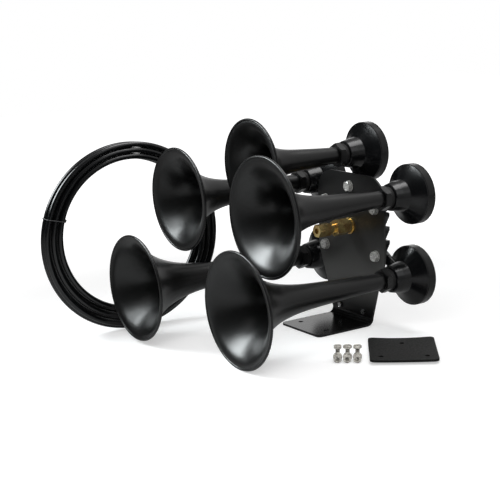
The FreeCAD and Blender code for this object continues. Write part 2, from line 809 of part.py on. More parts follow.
def make_inlet():
    """Brass air inlet: washer, adapter, sleeve and nut in line on the hub."""
    washer = size["inlet_washer_length"]
    thread = size["inlet_thread_radius"]
    bore = size["air_bore"]
    body = inlet_body("inlet_washer", size["wall_front"])
    revolve(body, ring_points(thread + size["bolt_fit"], size["inlet_washer_radius"], ZERO, washer))
    body = inlet_body("inlet_adapter", size["wall_front"])
    hex_start = washer + size["inlet_flange_length"]
    neck_start = hex_start + size["inlet_hex_length"]
    tail_start = neck_start + size["inlet_neck_length"]
    tail_end = tail_start + size["inlet_tail_length"]
    flange = size["inlet_flange_radius"]
    neck = size["inlet_neck_radius"]
    tail = size["inlet_tail_radius"]
    revolve(body, [
        (bore, -size["inlet_thread_length"]),
        (thread, -size["inlet_thread_length"]),
        (thread, washer),
        (flange, washer),
        (flange, hex_start),
        (neck, hex_start),
        (neck, tail_start),
        (tail, tail_start),
        (tail, tail_end),
        (bore, tail_end),
    ])
    hex_sketch = outline(body, "XY_Plane", hexagon(size["inlet_hex_flats"], 30))
    bind_offset(hex_sketch, hex_start)
    pad(body, hex_sketch, size["inlet_hex_length"])
    trim_corners(body, size["inlet_hex_flats"], hex_start, neck_start)
    cylinder(body, bore, tail_end + size["inlet_thread_length"] + size["cut_overrun"] * 2,
             (0, 0, -size["inlet_thread_length"] - size["cut_overrun"]), cut=True)
    body = inlet_body("inlet_nut", size["wall_front"])
    nut_sketch = outline(body, "XY_Plane", hexagon(size["inlet_nut_flats"]))
    bind_offset(nut_sketch, tail_start)
    pad(body, nut_sketch, size["inlet_nut_length"])
    nut_end = tail_start + size["inlet_nut_length"]
    trim_corners(body, size["inlet_nut_flats"], tail_start, nut_end)
    room = nut_end - size["inlet_nut_wall"]
    hose = size["hose_radius"] + size["hose_fit"]
    over = size["cut_overrun"]
    revolve(body, [
        (ZERO, tail_start - over),
        (tail + size["bolt_fit"], tail_start - over),
        (tail + size["bolt_fit"], room),
        (hose, room),
        (hose, nut_end + over),
        (ZERO, nut_end + over),
    ], cut=True)
    body = inlet_body("inlet_sleeve", size["wall_front"])
    revolve(body, ring_points(hose, tail, tail_end, tail_end + size["sleeve_length"]))


def trim_corners(body, flats, low, high):
    """Turn the corners off both ends of a hexagon."""
    reach = flats * (1 / math.sqrt(3))
    edge = (reach - flats * 0.5) * 0.6
    over = size["cut_overrun"]
    for face, inward in ((high, -1), (low, 1)):
        inner_face = face + (edge + over) * inward
        revolve(body, [(reach - edge, face), (reach + over, inner_face), (reach + over, face)], cut=True)


def make_pad():
    """Rubber pad with the foot's three holes."""
    body = new_body("rubber_pad", (size["pad_x"], size["pad_y"], 0), FreeCAD.Rotation(V(0, 0, 1), PAD_ANGLE))
    half_width = size["pad_width"] * 0.5
    half_length = size["pad_length"] * 0.5
    corner = size["pad_corner"]
    shape = outline(body, "XY_Plane", [
        (corner - half_width, -half_length),
        (half_width - corner, -half_length, corner * -1),
        (half_width, corner - half_length),
        (half_width, half_length - corner, corner * -1),
        (half_width - corner, half_length),
        (corner - half_width, half_length, corner * -1),
        (-half_width, half_length - corner),
        (-half_width, corner - half_length, corner * -1),
    ])
    pad(body, shape, size["pad_thickness"])
    rear = half_length - size["pad_rear_edge"]
    pair = rear - size["foot_rear_hole"]
    spacing = size["foot_bolt_half_spacing"]
    pocket(body, circles(body, "XY_Plane", [(-spacing, pair), (spacing, pair), (0, rear)],
                         size["foot_hole_radius"]), size["pad_thickness"] * 3)


def make_loose_fixings():
    """Three bolts standing on their shanks, a washer leaning on each, and a nut in front of each."""
    angle = math.radians(FIXING_ANGLE)
    along = V(math.cos(angle), math.sin(angle), 0)
    behind = V(-along.y, along.x, 0)
    up = V(0, 0, 1)
    first = V(size["fixing_x"].value, size["fixing_y"].value, 0)
    radius = size["fixing_radius"].value
    flats = size["fixing_flats"].value
    length = size["fixing_length"].value
    fit = size["bolt_fit"].value
    lean = math.radians(WASHER_LEAN)
    rim = size["fixing_washer_radius"].value
    thickness = size["fixing_washer_length"].value
    face = up * math.sin(lean) - behind * math.cos(lean)
    reach = radius + fit + rim * math.sin(lean) + thickness / 2 * math.cos(lean)
    middle = rim * math.cos(lean) + thickness / 2 * math.sin(lean)
    bolts = []
    washers = []
    nuts = []
    for index in range(FIXING_COUNT):
        spot = first + along * size["fixing_pitch"].value * (index - (FIXING_COUNT - 1) / 2)
        rear = spot + behind * size["fixing_row_gap"].value
        bolts.append(bolt(rear + up * length, -up, radius, flats, size["fixing_head"].value, length))
        centre = rear - behind * reach + up * middle
        washers.append(tube(centre - face * (thickness / 2), face, radius + fit, rim, thickness))
        nuts.append(nut(spot + up * flats / 2, behind, radius + fit, flats, size["fixing_nut_length"].value))
    solids("foot_bolts", bolts)
    solids("foot_washers", washers)
    solids("foot_nuts", nuts)


def biarc(start, start_way, end, end_way):
    """Two arcs that leave start and reach end along the given ways."""
    gap = end - start
    both = start_way + end_way
    square = 2 * (1 - start_way.dot(end_way))
    linear = 2 * gap.dot(both)
    reach = (math.sqrt(linear * linear + 4 * square * gap.dot(gap)) - linear) / (2 * square)
    first_knee = start + start_way * reach
    second_knee = end - end_way * reach
    middle = (first_knee + second_knee) * 0.5
    return [knee_arc(start, first_knee, middle), knee_arc(middle, second_knee, end)]


def knee_arc(start, knee, end):
    """Arc that touches both legs of a knee."""
    half = (end - start).Length / 2
    bend = math.acos(min(half / (knee - start).Length, 1.0))
    foot = (start + end) * 0.5
    return Part.Arc(start, foot + (knee - foot).normalize() * half * math.tan(bend / 2), end)


def coil_point(turns):
    """Middle of the hose after a number of turns, spiralling in on one layer and out on the other."""
    angle = math.radians(COIL_START_ANGLE) + 2 * math.pi * turns
    radius = coil_radius(turns)
    climb = min(max((turns - COIL_LAYER_TURNS) * 2 + 0.5, 0.0), 1.0)
    height = size["coil_pitch"].value * (climb * climb * (3 - 2 * climb) - 0.5)
    return V(radius * math.cos(angle), radius * math.sin(angle), height)


def coil_radius(turns):
    """Radius after a number of turns; the turns fan out about one angle of the ring."""
    angle = math.radians(COIL_START_ANGLE - COIL_FAN_ANGLE) + 2 * math.pi * turns
    pitch = size["coil_pitch"].value + size["coil_fan"].value * (0.5 + 0.5 * math.cos(angle)) ** 2
    inward = min(turns, 2 * COIL_LAYER_TURNS - turns)
    return size["coil_mean_radius"].value + pitch * (COIL_LAYER_TURNS / 2 - inward)


def coil_radii_at(angle):
    """Radii at which the hose crosses a ray of the coil, over both layers."""
    share = ((angle - COIL_START_ANGLE) / 360) % 1.0
    return [coil_radius(share + whole) for whole in range(2 * COIL_LAYER_TURNS)]


def make_coil():
    """Six turns of hose in two layers, one unbroken tube, and its wire tie."""
    hose = size["hose_radius"].value
    nudge = 0.001
    places = []
    for step in range(8 * COIL_LAYER_TURNS + 1):
        turns = step / 4
        way = coil_point(turns + nudge) - coil_point(turns - nudge)
        places.append((coil_point(turns), way.normalize()))
    first, first_way = places[0]
    last, last_way = places[-1]
    end = first - first_way * hose * 2
    edges = [Part.LineSegment(end, first).toShape()]
    for before, after in zip(places, places[1:]):
        edges += [arc.toShape() for arc in biarc(before[0], before[1], after[0], after[1])]
    edges.append(Part.LineSegment(last, last + last_way * hose * 2).toShape())
    path = Part.Wire(edges)
    section = Part.Wire(Part.Circle(end, first_way, hose).toShape())
    coil = path.makePipeShell([section], True, False)
    expected = math.pi * hose * hose * path.Length
    print(f"hose length {path.Length:.0f}, volume against section times length {coil.Volume / expected:.4f}")
    print(f"least gap between turns {least_gap(path, hose):.2f}")
    radii = coil_radii_at(TIE_ANGLE)
    wire = size["tie_radius"].value
    reach = hose + size["tie_gap"].value + wire
    tie = wire_loop(min(radii) - reach, max(radii) + reach, size["coil_pitch"].value / 2 + reach, hose, wire)
    lowest = min(spot.y for spot in path.discretize(Distance=hose / 8))
    yaw = math.radians(COIL_YAW_ANGLE)
    normal = V(math.cos(yaw), math.sin(yaw), 0)
    stand = FreeCAD.Rotation(V(-normal.y, normal.x, 0), V(0, 0, 1), normal, "ZXY")
    spot = FreeCAD.Placement(V(size["coil_x"].value, size["coil_y"].value, hose - lowest), stand)
    feature = solids("hose_coil", [coil])
    feature.Placement = spot
    feature = solids("hose_tie", [tie])
    feature.Placement = spot.multiply(FreeCAD.Placement(V(0, 0, 0), FreeCAD.Rotation(V(0, 0, 1), TIE_ANGLE)))


def wire_loop(low, high, side, corner, wire):
    """Closed rectangular loop of wire with round corners, in the plane of radius and height."""
    near = low + corner
    far = high - corner
    top = side - corner
    spots = [(near, -side), (far, -side), (high, -top), (high, top)]
    spots += [(far, side), (near, side), (low, top), (low, -top)]
    centres = [(far, -top), (far, top), (near, top), (near, -top)]
    edges = []
    for index in range(4):
        start = V(spots[2 * index][0], 0, spots[2 * index][1])
        knee = V(spots[2 * index + 1][0], 0, spots[2 * index + 1][1])
        after = spots[(2 * index + 2) % 8]
        end = V(after[0], 0, after[1])
        centre = V(centres[index][0], 0, centres[index][1])
        outward = ((knee + end) * 0.5 - centre).normalize()
        edges.append(Part.LineSegment(start, knee).toShape())
        edges.append(Part.Arc(knee, centre + outward * corner, end).toShape())
    path = Part.Wire(edges)
    section = Part.Wire(Part.Circle(V(near, 0, -side), V(1, 0, 0), wire).toShape())
    return path.makePipeShell([section], True, False)


def least_gap(path, hose):
    """Smallest gap between turns, measured on points along the tube's middle."""
    points = path.discretize(Distance=hose)
    skip = int(math.pi * 10)
    nearest = min((a - b).Length for n, a in enumerate(points) for b in points[n + skip:])
    return nearest - 2 * hose


for name, side, height_name, length_name, mouth_name in HORNS:
    make_trumpet(name, side, height_name, length_name, mouth_name)
    make_lock_nut(name, side, height_name)
    make_stub_seal(name, side, height_name)
    make_housing(name, side, height_name)
    make_clamp_ring(name, side, height_name)
    make_diaphragm(name, side, height_name)
    make_cap(name, side, height_name)
make_bracket()
make_manifold()
make_port_seals()
make_wall_fixings()
make_inlet()
make_pad()
make_loose_fixings()
make_coil()
doc.recompute()

for item in doc.Objects:
    if "Invalid" in item.State or "Error" in item.State:
        raise RuntimeError(f"{item.Name} failed: {item.State}")
for label, node in nodes.items():
    if node.Shape.isNull() or not node.Shape.isValid():
        raise RuntimeError(f"{label} has no valid shape")

os.makedirs("parts", exist_ok=True)
for label, node in nodes.items():
    node.Shape.exportStep(f"parts/{label}.step")
print(f"{len(nodes)} nodes written")
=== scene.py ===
# %% [markdown]
# # A train air horn with five trumpets
#
# The solids of this horn were drawn in a CAD program. This lesson dresses them in Blender:
# it sets the camera, lays the air line in its ring, gives the fixings their threads,
# paints everything and lights it. Blender works in metres here, so sizes in millimetres are
# multiplied by MM. X runs across the bracket, the trumpets point towards -Y, and Z is up with
# the bracket's foot on Z = 0.

# %% Load the solids
import math

import bmesh
import bpy
from mathutils import Matrix, Vector
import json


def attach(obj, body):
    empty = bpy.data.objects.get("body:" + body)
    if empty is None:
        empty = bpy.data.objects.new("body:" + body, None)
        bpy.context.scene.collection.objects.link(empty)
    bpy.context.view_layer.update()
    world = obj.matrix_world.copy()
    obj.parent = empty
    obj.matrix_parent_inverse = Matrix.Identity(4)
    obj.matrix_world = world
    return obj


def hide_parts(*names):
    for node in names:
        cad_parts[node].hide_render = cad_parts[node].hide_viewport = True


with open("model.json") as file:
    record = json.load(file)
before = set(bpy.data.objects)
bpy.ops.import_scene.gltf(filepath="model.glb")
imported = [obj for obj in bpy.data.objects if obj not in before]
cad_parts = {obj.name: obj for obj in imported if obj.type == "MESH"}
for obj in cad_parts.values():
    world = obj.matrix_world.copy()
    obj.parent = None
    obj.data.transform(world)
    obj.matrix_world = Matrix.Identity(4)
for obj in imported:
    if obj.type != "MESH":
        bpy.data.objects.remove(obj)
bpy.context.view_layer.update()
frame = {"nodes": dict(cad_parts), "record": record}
nodes = frame["nodes"]
MM = 0.001

# %% [markdown]
# ## The camera
#
# The photograph was taken from the right and a little above, with a long lens, so near things
# look only a little larger than far ones. A camera in Blender looks along its own -Z, so its
# matrix is made from three directions: right, up and backwards. The lens is given as a focal
# length on a sensor 36 mm wide. The small roll is the photographer's.

# %% Camera
CAMERA_SPOT = Vector((1.4249, -1.0333, 0.5070))
CAMERA_AZIMUTH = math.radians(56.862)
CAMERA_ELEVATION = math.radians(12.484)
CAMERA_ROLL = math.radians(-2.128)
FOCAL_PIXELS = 1273.8
PHOTO_PIXELS = 500
SENSOR = 36.0


def add_camera():
    """Stand the camera where the photographer stood."""
    back = Vector((math.sin(CAMERA_AZIMUTH) * math.cos(CAMERA_ELEVATION),
                   -math.cos(CAMERA_AZIMUTH) * math.cos(CAMERA_ELEVATION),
                   math.sin(CAMERA_ELEVATION)))
    level_right = Vector((math.cos(CAMERA_AZIMUTH), math.sin(CAMERA_AZIMUTH), 0))
    level_up = back.cross(level_right)
    right = level_right * math.cos(CAMERA_ROLL) + level_up * math.sin(CAMERA_ROLL)
    up = level_up * math.cos(CAMERA_ROLL) - level_right * math.sin(CAMERA_ROLL)
    data = bpy.data.cameras.new("photo_camera")
    data.sensor_width = SENSOR
    data.lens = FOCAL_PIXELS / PHOTO_PIXELS * SENSOR
    data.clip_start = 0.05
    camera = bpy.data.objects.new("photo_camera", data)
    turn = Matrix((right, up, back)).transposed().to_4x4()
    camera.matrix_world = Matrix.Translation(CAMERA_SPOT) @ turn
    bpy.context.scene.collection.objects.link(camera)
    bpy.context.scene.camera = camera
    return camera


camera = add_camera()
print("lens", round(camera.data.lens, 2), "mm")

# %% [markdown]
# ## The air line
#
# The hose is 8 mm nylon tube, wound in two layers of three turns and held by one tie. It is one
# unbroken length, so it is one open spline: the line spirals inwards over three turns, steps to
# the other layer, and spirals out again. Low in the ring the turns fan out a little, and the
# two layers have slipped on each other, so the hoses behind fill the gaps between those in front.
#
# A smooth spline with few points bends as real tube does. It cuts inside the corners of its
# control points, so the points stand a little further out than the hose's middle. The thickness
# is written in the points and the bevel is 1, because Blender adds the points' radius to the
# curve's box, and a radius of 1 m would make that box far too large.

# %% Route of the hose
HOSE_RADIUS = 4.0 * MM
RING_RADIUS = 121.3 * MM  # to the middle turn of a layer
RING_PITCH = 8.42 * MM  # from one turn of a layer to the next, opposite the fan
RING_FAN = 3.06 * MM  # added to the pitch where the turns fan out most
LAYER_STEP = 8.2 * MM  # from one layer's middle to the other's
LAYER_SLIP = 2.26 * MM
RING_MIDDLE = Vector((-172.7, -193.7, 139.12)) * MM
RING_YAW = math.radians(-2.84)
LAYER_TURNS = 3
CLIMB_TURNS = 0.5  # the part of a turn in which the hose changes layer
# Angles in the ring's plane, counted from its level radius.
START_ANGLE = math.radians(325.0)
FAN_ANGLE = math.radians(241.6)
TIE_ANGLE = math.radians(163.0)
POINTS_PER_TURN = 24
HOSE_LEAD = 4.0 * MM
SMALL_TURN = 0.001  # a step that is short enough to give the hose's direction

ring_normal = Vector((math.cos(RING_YAW), math.sin(RING_YAW), 0))
ring_across = Vector((-ring_normal.y, ring_normal.x, 0))
RING_PLACE = Matrix.Translation(RING_MIDDLE) @ Matrix(
    (ring_across, Vector((0, 0, 1)), ring_normal)).transposed().to_4x4()


def layer_share(turns):
    """Runs from half on the layer in front to minus half on the one behind."""
    climb = min(max((turns - LAYER_TURNS) / CLIMB_TURNS + 0.5, 0.0), 1.0)
    return 0.5 - climb * climb * (3 - 2 * climb)


def ring_radius(turns):
    """Distance of the hose's middle from the ring's middle after a number of turns."""
    angle = START_ANGLE + math.tau * turns
    pitch = RING_PITCH + RING_FAN * (0.5 + 0.5 * math.cos(angle - FAN_ANGLE)) ** 2
    inward = min(turns, 2 * LAYER_TURNS - turns)
    slip = LAYER_SLIP * layer_share(turns) * math.sin(angle)
    return RING_RADIUS + pitch * (LAYER_TURNS / 2 - inward) - slip


def ring_point(turns, spread=1.0):
    """Point of the hose in the ring's own plane, with its height towards either layer."""
    angle = START_ANGLE + math.tau * turns
    radius = ring_radius(turns) * spread
    height = LAYER_STEP * layer_share(turns)
    return Vector((radius * math.cos(angle), radius * math.sin(angle), height))


def hose_points():
    """Control points of the whole hose, with a short straight lead at each end."""
    spread = 1 / math.cos(math.pi / POINTS_PER_TURN)
    last = 2 * LAYER_TURNS
    steps = range(last * POINTS_PER_TURN + 1)
    points = [ring_point(step / POINTS_PER_TURN, spread) for step in steps]
    points[0] = ring_point(0)
    points[-1] = ring_point(last)
    first_way = (ring_point(SMALL_TURN) - points[0]).normalized()
    last_way = (points[-1] - ring_point(last - SMALL_TURN)).normalized()
    ends = points[0] - first_way * HOSE_LEAD, points[-1] + last_way * HOSE_LEAD
    return [RING_PLACE @ point for point in (ends[0], *points, ends[1])]


def steps_length(points):
    """Length of the straight steps from point to point."""
    return sum((b - a).length for a, b in zip(points, points[1:]))


route = hose_points()
print(len(route), "control points,", round(steps_length(route), 3), "m from point to point")


# %% Hose as a round spline
def add_to_scene(name, data):
    """New object with this data, linked to the scene."""
    thing = bpy.data.objects.new(name, data)
    bpy.context.scene.collection.objects.link(thing)
    return thing


def tube_along(name, points, radius, closed=False, ring_steps=8):
    """Round tube along one smooth spline with the points as its control points."""
    data = bpy.data.curves.new(name, "CURVE")
    data.dimensions = "3D"
    spline = data.splines.new("NURBS")
    spline.points.add(len(points) - 1)
    for point, place in zip(spline.points, points):
        point.co = (*place, 1.0)
        point.radius = radius
    spline.use_cyclic_u = closed
    spline.use_endpoint_u = not closed
    spline.order_u = 3
    spline.resolution_u = 6
    data.resolution_u = 6
    data.bevel_depth = 1.0
    data.bevel_resolution = ring_steps
    return add_to_scene(name, data)


hose = tube_along("air_hose", route, HOSE_RADIUS)
hose_ends = [route[0], route[-1]]
hose_ways = [(route[0] - route[1]).normalized(), (route[-1] - route[-2]).normalized()]


def line_length(thing):
    """Length of a tube's middle line, read from the spline without its round section."""
    plain = thing.data.copy()
    plain.bevel_depth = 0
    stand_in = bpy.data.objects.new("measure", plain)
    mesh = bpy.data.meshes.new_from_object(stand_in)
    places = [vertex.co.copy() for vertex in mesh.vertices]
    bpy.data.meshes.remove(mesh)
    bpy.data.objects.remove(stand_in)
    bpy.data.curves.remove(plain)
    return steps_length(places)


hose_length = line_length(hose)
print("hose", round(hose_length, 3), "m long")

# %% [markdown]
# ## Turned and threaded shapes
#
# Hose ends, washers, bolts and nuts are all made by turning a line about an axis. One helper
# does it: each row says, for an angle, how far out and how high its point lies. A round row
# gives the same answer all the way round, a hexagonal one doesn't, and where a cone meets a
# hexagon the curved corners of a real bolt head come out by themselves.


# %% Turning helper
SAME_SPOT = 1e-7  # points closer than this are one point
HEX_TURN = math.pi / 3
CORNER_CUT = math.pi / 6  # slope of the cone that cuts a hexagon's corners


def turned(work, place, rows, steps=48, closed=False):
    """Skin rows of points about a place's own Z axis; each row is a function of the angle."""
    angles = [math.tau * step / steps for step in range(steps)]
    rings = []
    for row in rows:
        spots = [row(angle) for angle in angles]
        if max(radius for radius, _ in spots) < SAME_SPOT:
            rings.append([work.verts.new(place @ Vector((0, 0, spots[0][1])))] * steps)
            continue
        ring = [Vector((radius * math.cos(angle), radius * math.sin(angle), height))
                for angle, (radius, height) in zip(angles, spots)]
        rings.append([work.verts.new(place @ spot) for spot in ring])
    pairs = list(zip(rings, rings[1:])) + ([(rings[-1], rings[0])] if closed else [])
    for low, high in pairs:
        for step in range(steps):
            after = (step + 1) % steps
            corners = [low[step], low[after], high[after], high[step]]
            corners = [v for n, v in enumerate(corners) if v not in corners[:n]]
            if len(corners) > 2:
                work.faces.new(corners)


def ring_row(radius, height):
    """Round row."""
    return lambda angle: (radius, height)


def hex_reach(angle, flats):
    """Distance from the middle of a hexagon to its edge."""
    return flats / 2 / math.cos((angle + HEX_TURN / 2) % HEX_TURN - HEX_TURN / 2)


def hex_row(flats, height, cut_radius, way):
    """Row along a hexagon whose corners are cut by a cone of 30 degrees."""
    def row(angle):
        reach = hex_reach(angle, flats)
        return reach, height + way * max(reach - cut_radius, 0) * math.tan(CORNER_CUT)
    return row


def finish_mesh(name, work, sharp=35):
    """Turn the work into a named object with smooth faces and sharp corners."""
    bmesh.ops.remove_doubles(work, verts=work.verts, dist=SAME_SPOT)
    bmesh.ops.recalc_face_normals(work, faces=work.faces)
    mesh = bpy.data.meshes.new(name)
    work.to_mesh(mesh)
    work.free()
    mesh.shade_smooth()
    mesh.set_sharp_from_angle(angle=math.radians(sharp))
    return add_to_scene(name, mesh)


def aimed(spot, axis, turn=0.0):
    """Place whose Z axis points along an axis."""
    return (Matrix.Translation(spot) @ Vector(axis).to_track_quat("Z", "Y").to_matrix().to_4x4()
            @ Matrix.Rotation(turn, 4, "Z"))


print("helpers ready")

# %% [markdown]
# The hose is cut square, so each end shows a ring of wall with the bore inside. The tube from
# the spline is an empty skin, and a small turned piece fills each end.

# %% Cut ends of the hose
HOSE_BORE = 2.75 * MM
BORE_DEPTH = 7.0 * MM
CUT_FACE = 0.05 * MM  # how far the cut face stands before the tube's open end
CUT_OVERLAP = 0.4 * MM
CUT_EDGE = 0.15 * MM


def add_hose_ends():
    """Cut face, bore and bottom for both ends, in one mesh."""
    work = bmesh.new()
    for spot, way in zip(hose_ends, hose_ways):
        rows = [ring_row(HOSE_RADIUS, -CUT_OVERLAP), ring_row(HOSE_RADIUS - CUT_EDGE, CUT_FACE),
                ring_row(HOSE_BORE, CUT_FACE), ring_row(HOSE_BORE, -BORE_DEPTH),
                ring_row(0, -BORE_DEPTH)]
        turned(work, aimed(spot, way), rows, steps=32)
    return finish_mesh("hose_cut_ends", work)


hose_cut_ends = add_hose_ends()
print("hose ends at", [tuple(round(v, 3) for v in end) for end in hose_ends])

# %% [markdown]
# The tie is a plastic-coated wire. It goes once round the bundle and its two ends are twisted
# together on the inside of the ring. The loop is a closed spline, drawn in the flat section of
# the bundle: in that section the first coordinate is the distance from the ring's middle, the
# second is the height above the ring's plane. Going round all directions and taking the hose
# that reaches furthest in each gives a loop that is pulled tight about the six hoses.

# %% Wire tie
WIRE_RADIUS = 0.65 * MM
TWIST_TURNS = 1.5
TWIST_LENGTH = 4.0 * MM
TWIST_POINTS = 12
LOOP_POINTS = 40
LOOP_ROOM = 0.1 * MM  # between the wire and the hoses
LOOP_SLANT = 0.05  # the loop isn't quite square to the hoses


def in_section(distance, height, along=0.0):
    """Point of the bundle's section at the tie, moved a little along the hose if asked."""
    out = Vector((math.cos(TIE_ANGLE), math.sin(TIE_ANGLE), 0))
    sideways = Vector((-out.y, out.x, 0))
    return RING_PLACE @ (out * distance + sideways * along + Vector((0, 0, height)))


def tie_section():
    """Distance and height of each of the six hoses at the tie."""
    share = ((TIE_ANGLE - START_ANGLE) / math.tau) % 1.0
    turns = [share + whole for whole in range(2 * LAYER_TURNS)]
    return [Vector((ring_radius(turn), LAYER_STEP * layer_share(turn))) for turn in turns]


def tie_loop():
    """Points of the closed loop."""
    hoses = tie_section()
    reach = HOSE_RADIUS + WIRE_RADIUS + LOOP_ROOM
    points = []
    for step in range(LOOP_POINTS):
        angle = math.tau * step / LOOP_POINTS
        way = Vector((math.cos(angle), math.sin(angle)))
        furthest = max(hoses, key=lambda spot: spot.dot(way))
        spot = furthest + way * reach
        points.append(in_section(spot.x, spot.y, LOOP_SLANT * (spot.x - RING_RADIUS)))
    return points


def twisted_ends(strand):
    """One of the two wire ends wound round each other, folded down along the inner turn."""
    innermost = min(tie_section(), key=lambda spot: spot.x)
    middle = innermost.x - HOSE_RADIUS - WIRE_RADIUS * 2
    points = []
    for step in range(TWIST_POINTS):
        share = step / (TWIST_POINTS - 1)
        angle = math.tau * TWIST_TURNS * share + math.pi * strand
        swing = WIRE_RADIUS * 0.95 * min(1.0, 0.4 + share * 3)  # closer together at the root
        points.append(in_section(middle + swing * math.cos(angle),
                                 innermost.y + swing * math.sin(angle), -TWIST_LENGTH * share))
    return points


wire_tie = tube_along("wire_tie", tie_loop(), WIRE_RADIUS, closed=True, ring_steps=4)
twists = []
for strand in range(2):
    name = f"wire_tie_twist_{strand + 1}"
    twist = tube_along(name, twisted_ends(strand), WIRE_RADIUS * 0.9, ring_steps=4)
    twist.data.use_fill_caps = True
    twists.append(twist)
print("tie round hoses at", [round(spot.x / MM, 1) for spot in tie_section()], "mm")

# %% [markdown]
# All ride on the horn's fixed body, because the whole set is one unmoving display.

BODY = "horn_cluster"
piece_slots = {}


def dress(thing, slot, *replaced):
    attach(thing, BODY)
    if replaced:
        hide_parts(*replaced)
    piece_slots[thing.name] = slot


dress(hose, "hose_nylon", "hose_coil")
dress(hose_cut_ends, "hose_nylon")
dress(wire_tie, "tie_wire", "hose_tie")
for twist in twists:
    dress(twist, "tie_wire")
tuple(hose_ends[0])

# %% [markdown]
# ## Bolts, washers and nuts
#
# The solids of the fixings are plain hexagons and rods. Real ones have cut corners, a washer
# face under the head and a rolled thread, and those small shapes are what makes zinc sparkle.
# A thread is a grid wound round the rod: each column of points stands a little higher than the
# one before, so after one turn the grid has climbed exactly one pitch and joins itself.


# %% Bolt, nut and washer shapes
THREAD_DEPTH = 0.54  # of the pitch
THREAD_SHARES = (0.0, 0.5, 1.0, 0.5)  # root, flank, crest, flank
IN_HEAD = 0.5 * MM  # how far a rod reaches into its head
HEX_CUT = 0.475  # radius at which the corner cut begins, of the width across flats
HEX_STEPS = 72


def add_thread(work, place, radius, pitch, low, high, steps=24):
    """Closed rod with a helical thread between two heights."""
    depth = pitch * THREAD_DEPTH
    per_pitch = len(THREAD_SHARES)
    rows = int((high - low) / pitch * per_pitch) + 2 * per_pitch
    grid = []
    for row in range(rows):
        ring = []
        for step in range(steps):
            height = low + pitch * (row / per_pitch - 1 + step / steps)
            run_out = min(max(min(height - low, high - height) / pitch, 0.0), 1.0)
            reach = radius - depth + depth * THREAD_SHARES[row % per_pitch] * run_out
            angle = math.tau * step / steps
            spot = Vector((reach * math.cos(angle), reach * math.sin(angle),
                           min(max(height, low), high)))
            ring.append(work.verts.new(place @ spot))
        grid.append(ring)
    for row in range(rows - 1):
        for step in range(steps - 1):
            work.faces.new((grid[row][step], grid[row][step + 1],
                            grid[row + 1][step + 1], grid[row + 1][step]))
        if row + per_pitch + 1 < rows:
            work.faces.new((grid[row][-1], grid[row + per_pitch][0],
                            grid[row + per_pitch + 1][0], grid[row + 1][-1]))
    core = radius - depth
    point = 0.6 * depth
    turned(work, place, [ring_row(0, low), ring_row(core, low), ring_row(core, high),
                         ring_row(core - point, high + point), ring_row(0, high + point)], steps)


def add_head(work, place, flats, height):
    """Bolt head from Z = 0 down, with a washer face and a shallow dish on top."""
    step = 0.03 * flats
    washer_face = 0.46 * flats
    cut = HEX_CUT * flats
    uncut = 2 * flats
    turned(work, place, [
        ring_row(0, 0), ring_row(washer_face, 0), ring_row(washer_face, -step),
        hex_row(flats, -step, uncut, 1), hex_row(flats, -height, cut, 1),
        ring_row(cut, -height), ring_row(cut * 0.86, -height),
        ring_row(cut * 0.78, -height + step), ring_row(0, -height + step),
    ], HEX_STEPS)


def add_nut(work, place, flats, bore, pitch, height):
    """Hexagonal nut from Z = 0 up, with cut corners and a threaded bore."""
    cut = HEX_CUT * flats
    mouth = bore + 0.4 * pitch
    rows = [ring_row(mouth, 0), ring_row(cut, 0), hex_row(flats, 0, cut, 1),
            hex_row(flats, height, cut, -1), ring_row(cut, height), ring_row(mouth, height)]
    turns = int(height / pitch * 2)
    for step in range(turns, 0, -1):
        rows.append(ring_row(bore - (0.35 * pitch if step % 2 else 0), height * step / (turns + 1)))
    turned(work, place, rows, HEX_STEPS, closed=True)


def add_washer(work, place, inner, outer, thickness):
    """Flat washer with softened edges, from Z = 0 up."""
    edge = thickness * 0.18
    turned(work, place, [
        ring_row(inner, edge), ring_row(inner + edge, 0), ring_row(outer - edge, 0),
        ring_row(outer, edge), ring_row(outer, thickness - edge), ring_row(outer - edge, thickness),
        ring_row(inner + edge, thickness), ring_row(inner, thickness - edge),
    ], steps=56, closed=True)


print("shapes of fixings ready")

# %% [markdown]
# Five bolts hold the air manifold against the wall, one for each horn. They sit on the line
# from the inlet to the horn's axis. Each is turned by a different angle, as a spanner leaves it.

# %% Bolts through the wall
WALL_FRONT = 71.0 * MM
SHEET = 3.0 * MM
# The inlet's height, the bolts' distance from the horns' axes, and the axes' X and Z, in mm.
HUB_HEIGHT = 140.0
BOLT_IN = 47.0
HORN_AXES = ((0, 244.5), (98, 194.5), (98, 79.5), (-98, 194.5), (-98, 79.5))
WALL_WASHER = 1.6 * MM
WALL_WASHER_RADII = (4.3 * MM, 8.0 * MM)
WALL_HEAD = 5.3 * MM
WALL_FLATS = 13.0 * MM
WALL_THREAD = (4.0 * MM, 1.25 * MM)  # radius and pitch
WALL_BOLT_END = WALL_WASHER + SHEET + 5.5 * MM
WALL_TURNS = (0.3, 0.9, 0.55, 0.15, 0.7)


def wall_bolt_spots():
    """Middles of the bolts on the wall, in the plane Y = 0."""
    spots = []
    for across, up in HORN_AXES:
        way = Vector((-across, HUB_HEIGHT - up)).normalized() * BOLT_IN
        spots.append(Vector((across + way.x, 0, up + way.y)) * MM)
    return spots


def add_wall_bolts():
    bolts, washers = bmesh.new(), bmesh.new()
    for spot, turn in zip(wall_bolt_spots(), WALL_TURNS):
        spot.y = WALL_FRONT - WALL_WASHER
        place = aimed(spot, (0, 1, 0), turn)
        add_head(bolts, place, WALL_FLATS, WALL_HEAD)
        add_thread(bolts, place, *WALL_THREAD, -IN_HEAD, WALL_BOLT_END)
        add_washer(washers, place, *WALL_WASHER_RADII, WALL_WASHER)
    dress(finish_mesh("wall_bolts_threaded", bolts), "zinc_fixings", "wall_bolts")
    dress(finish_mesh("wall_washers_rounded", washers), "zinc_fixings", "wall_washers")


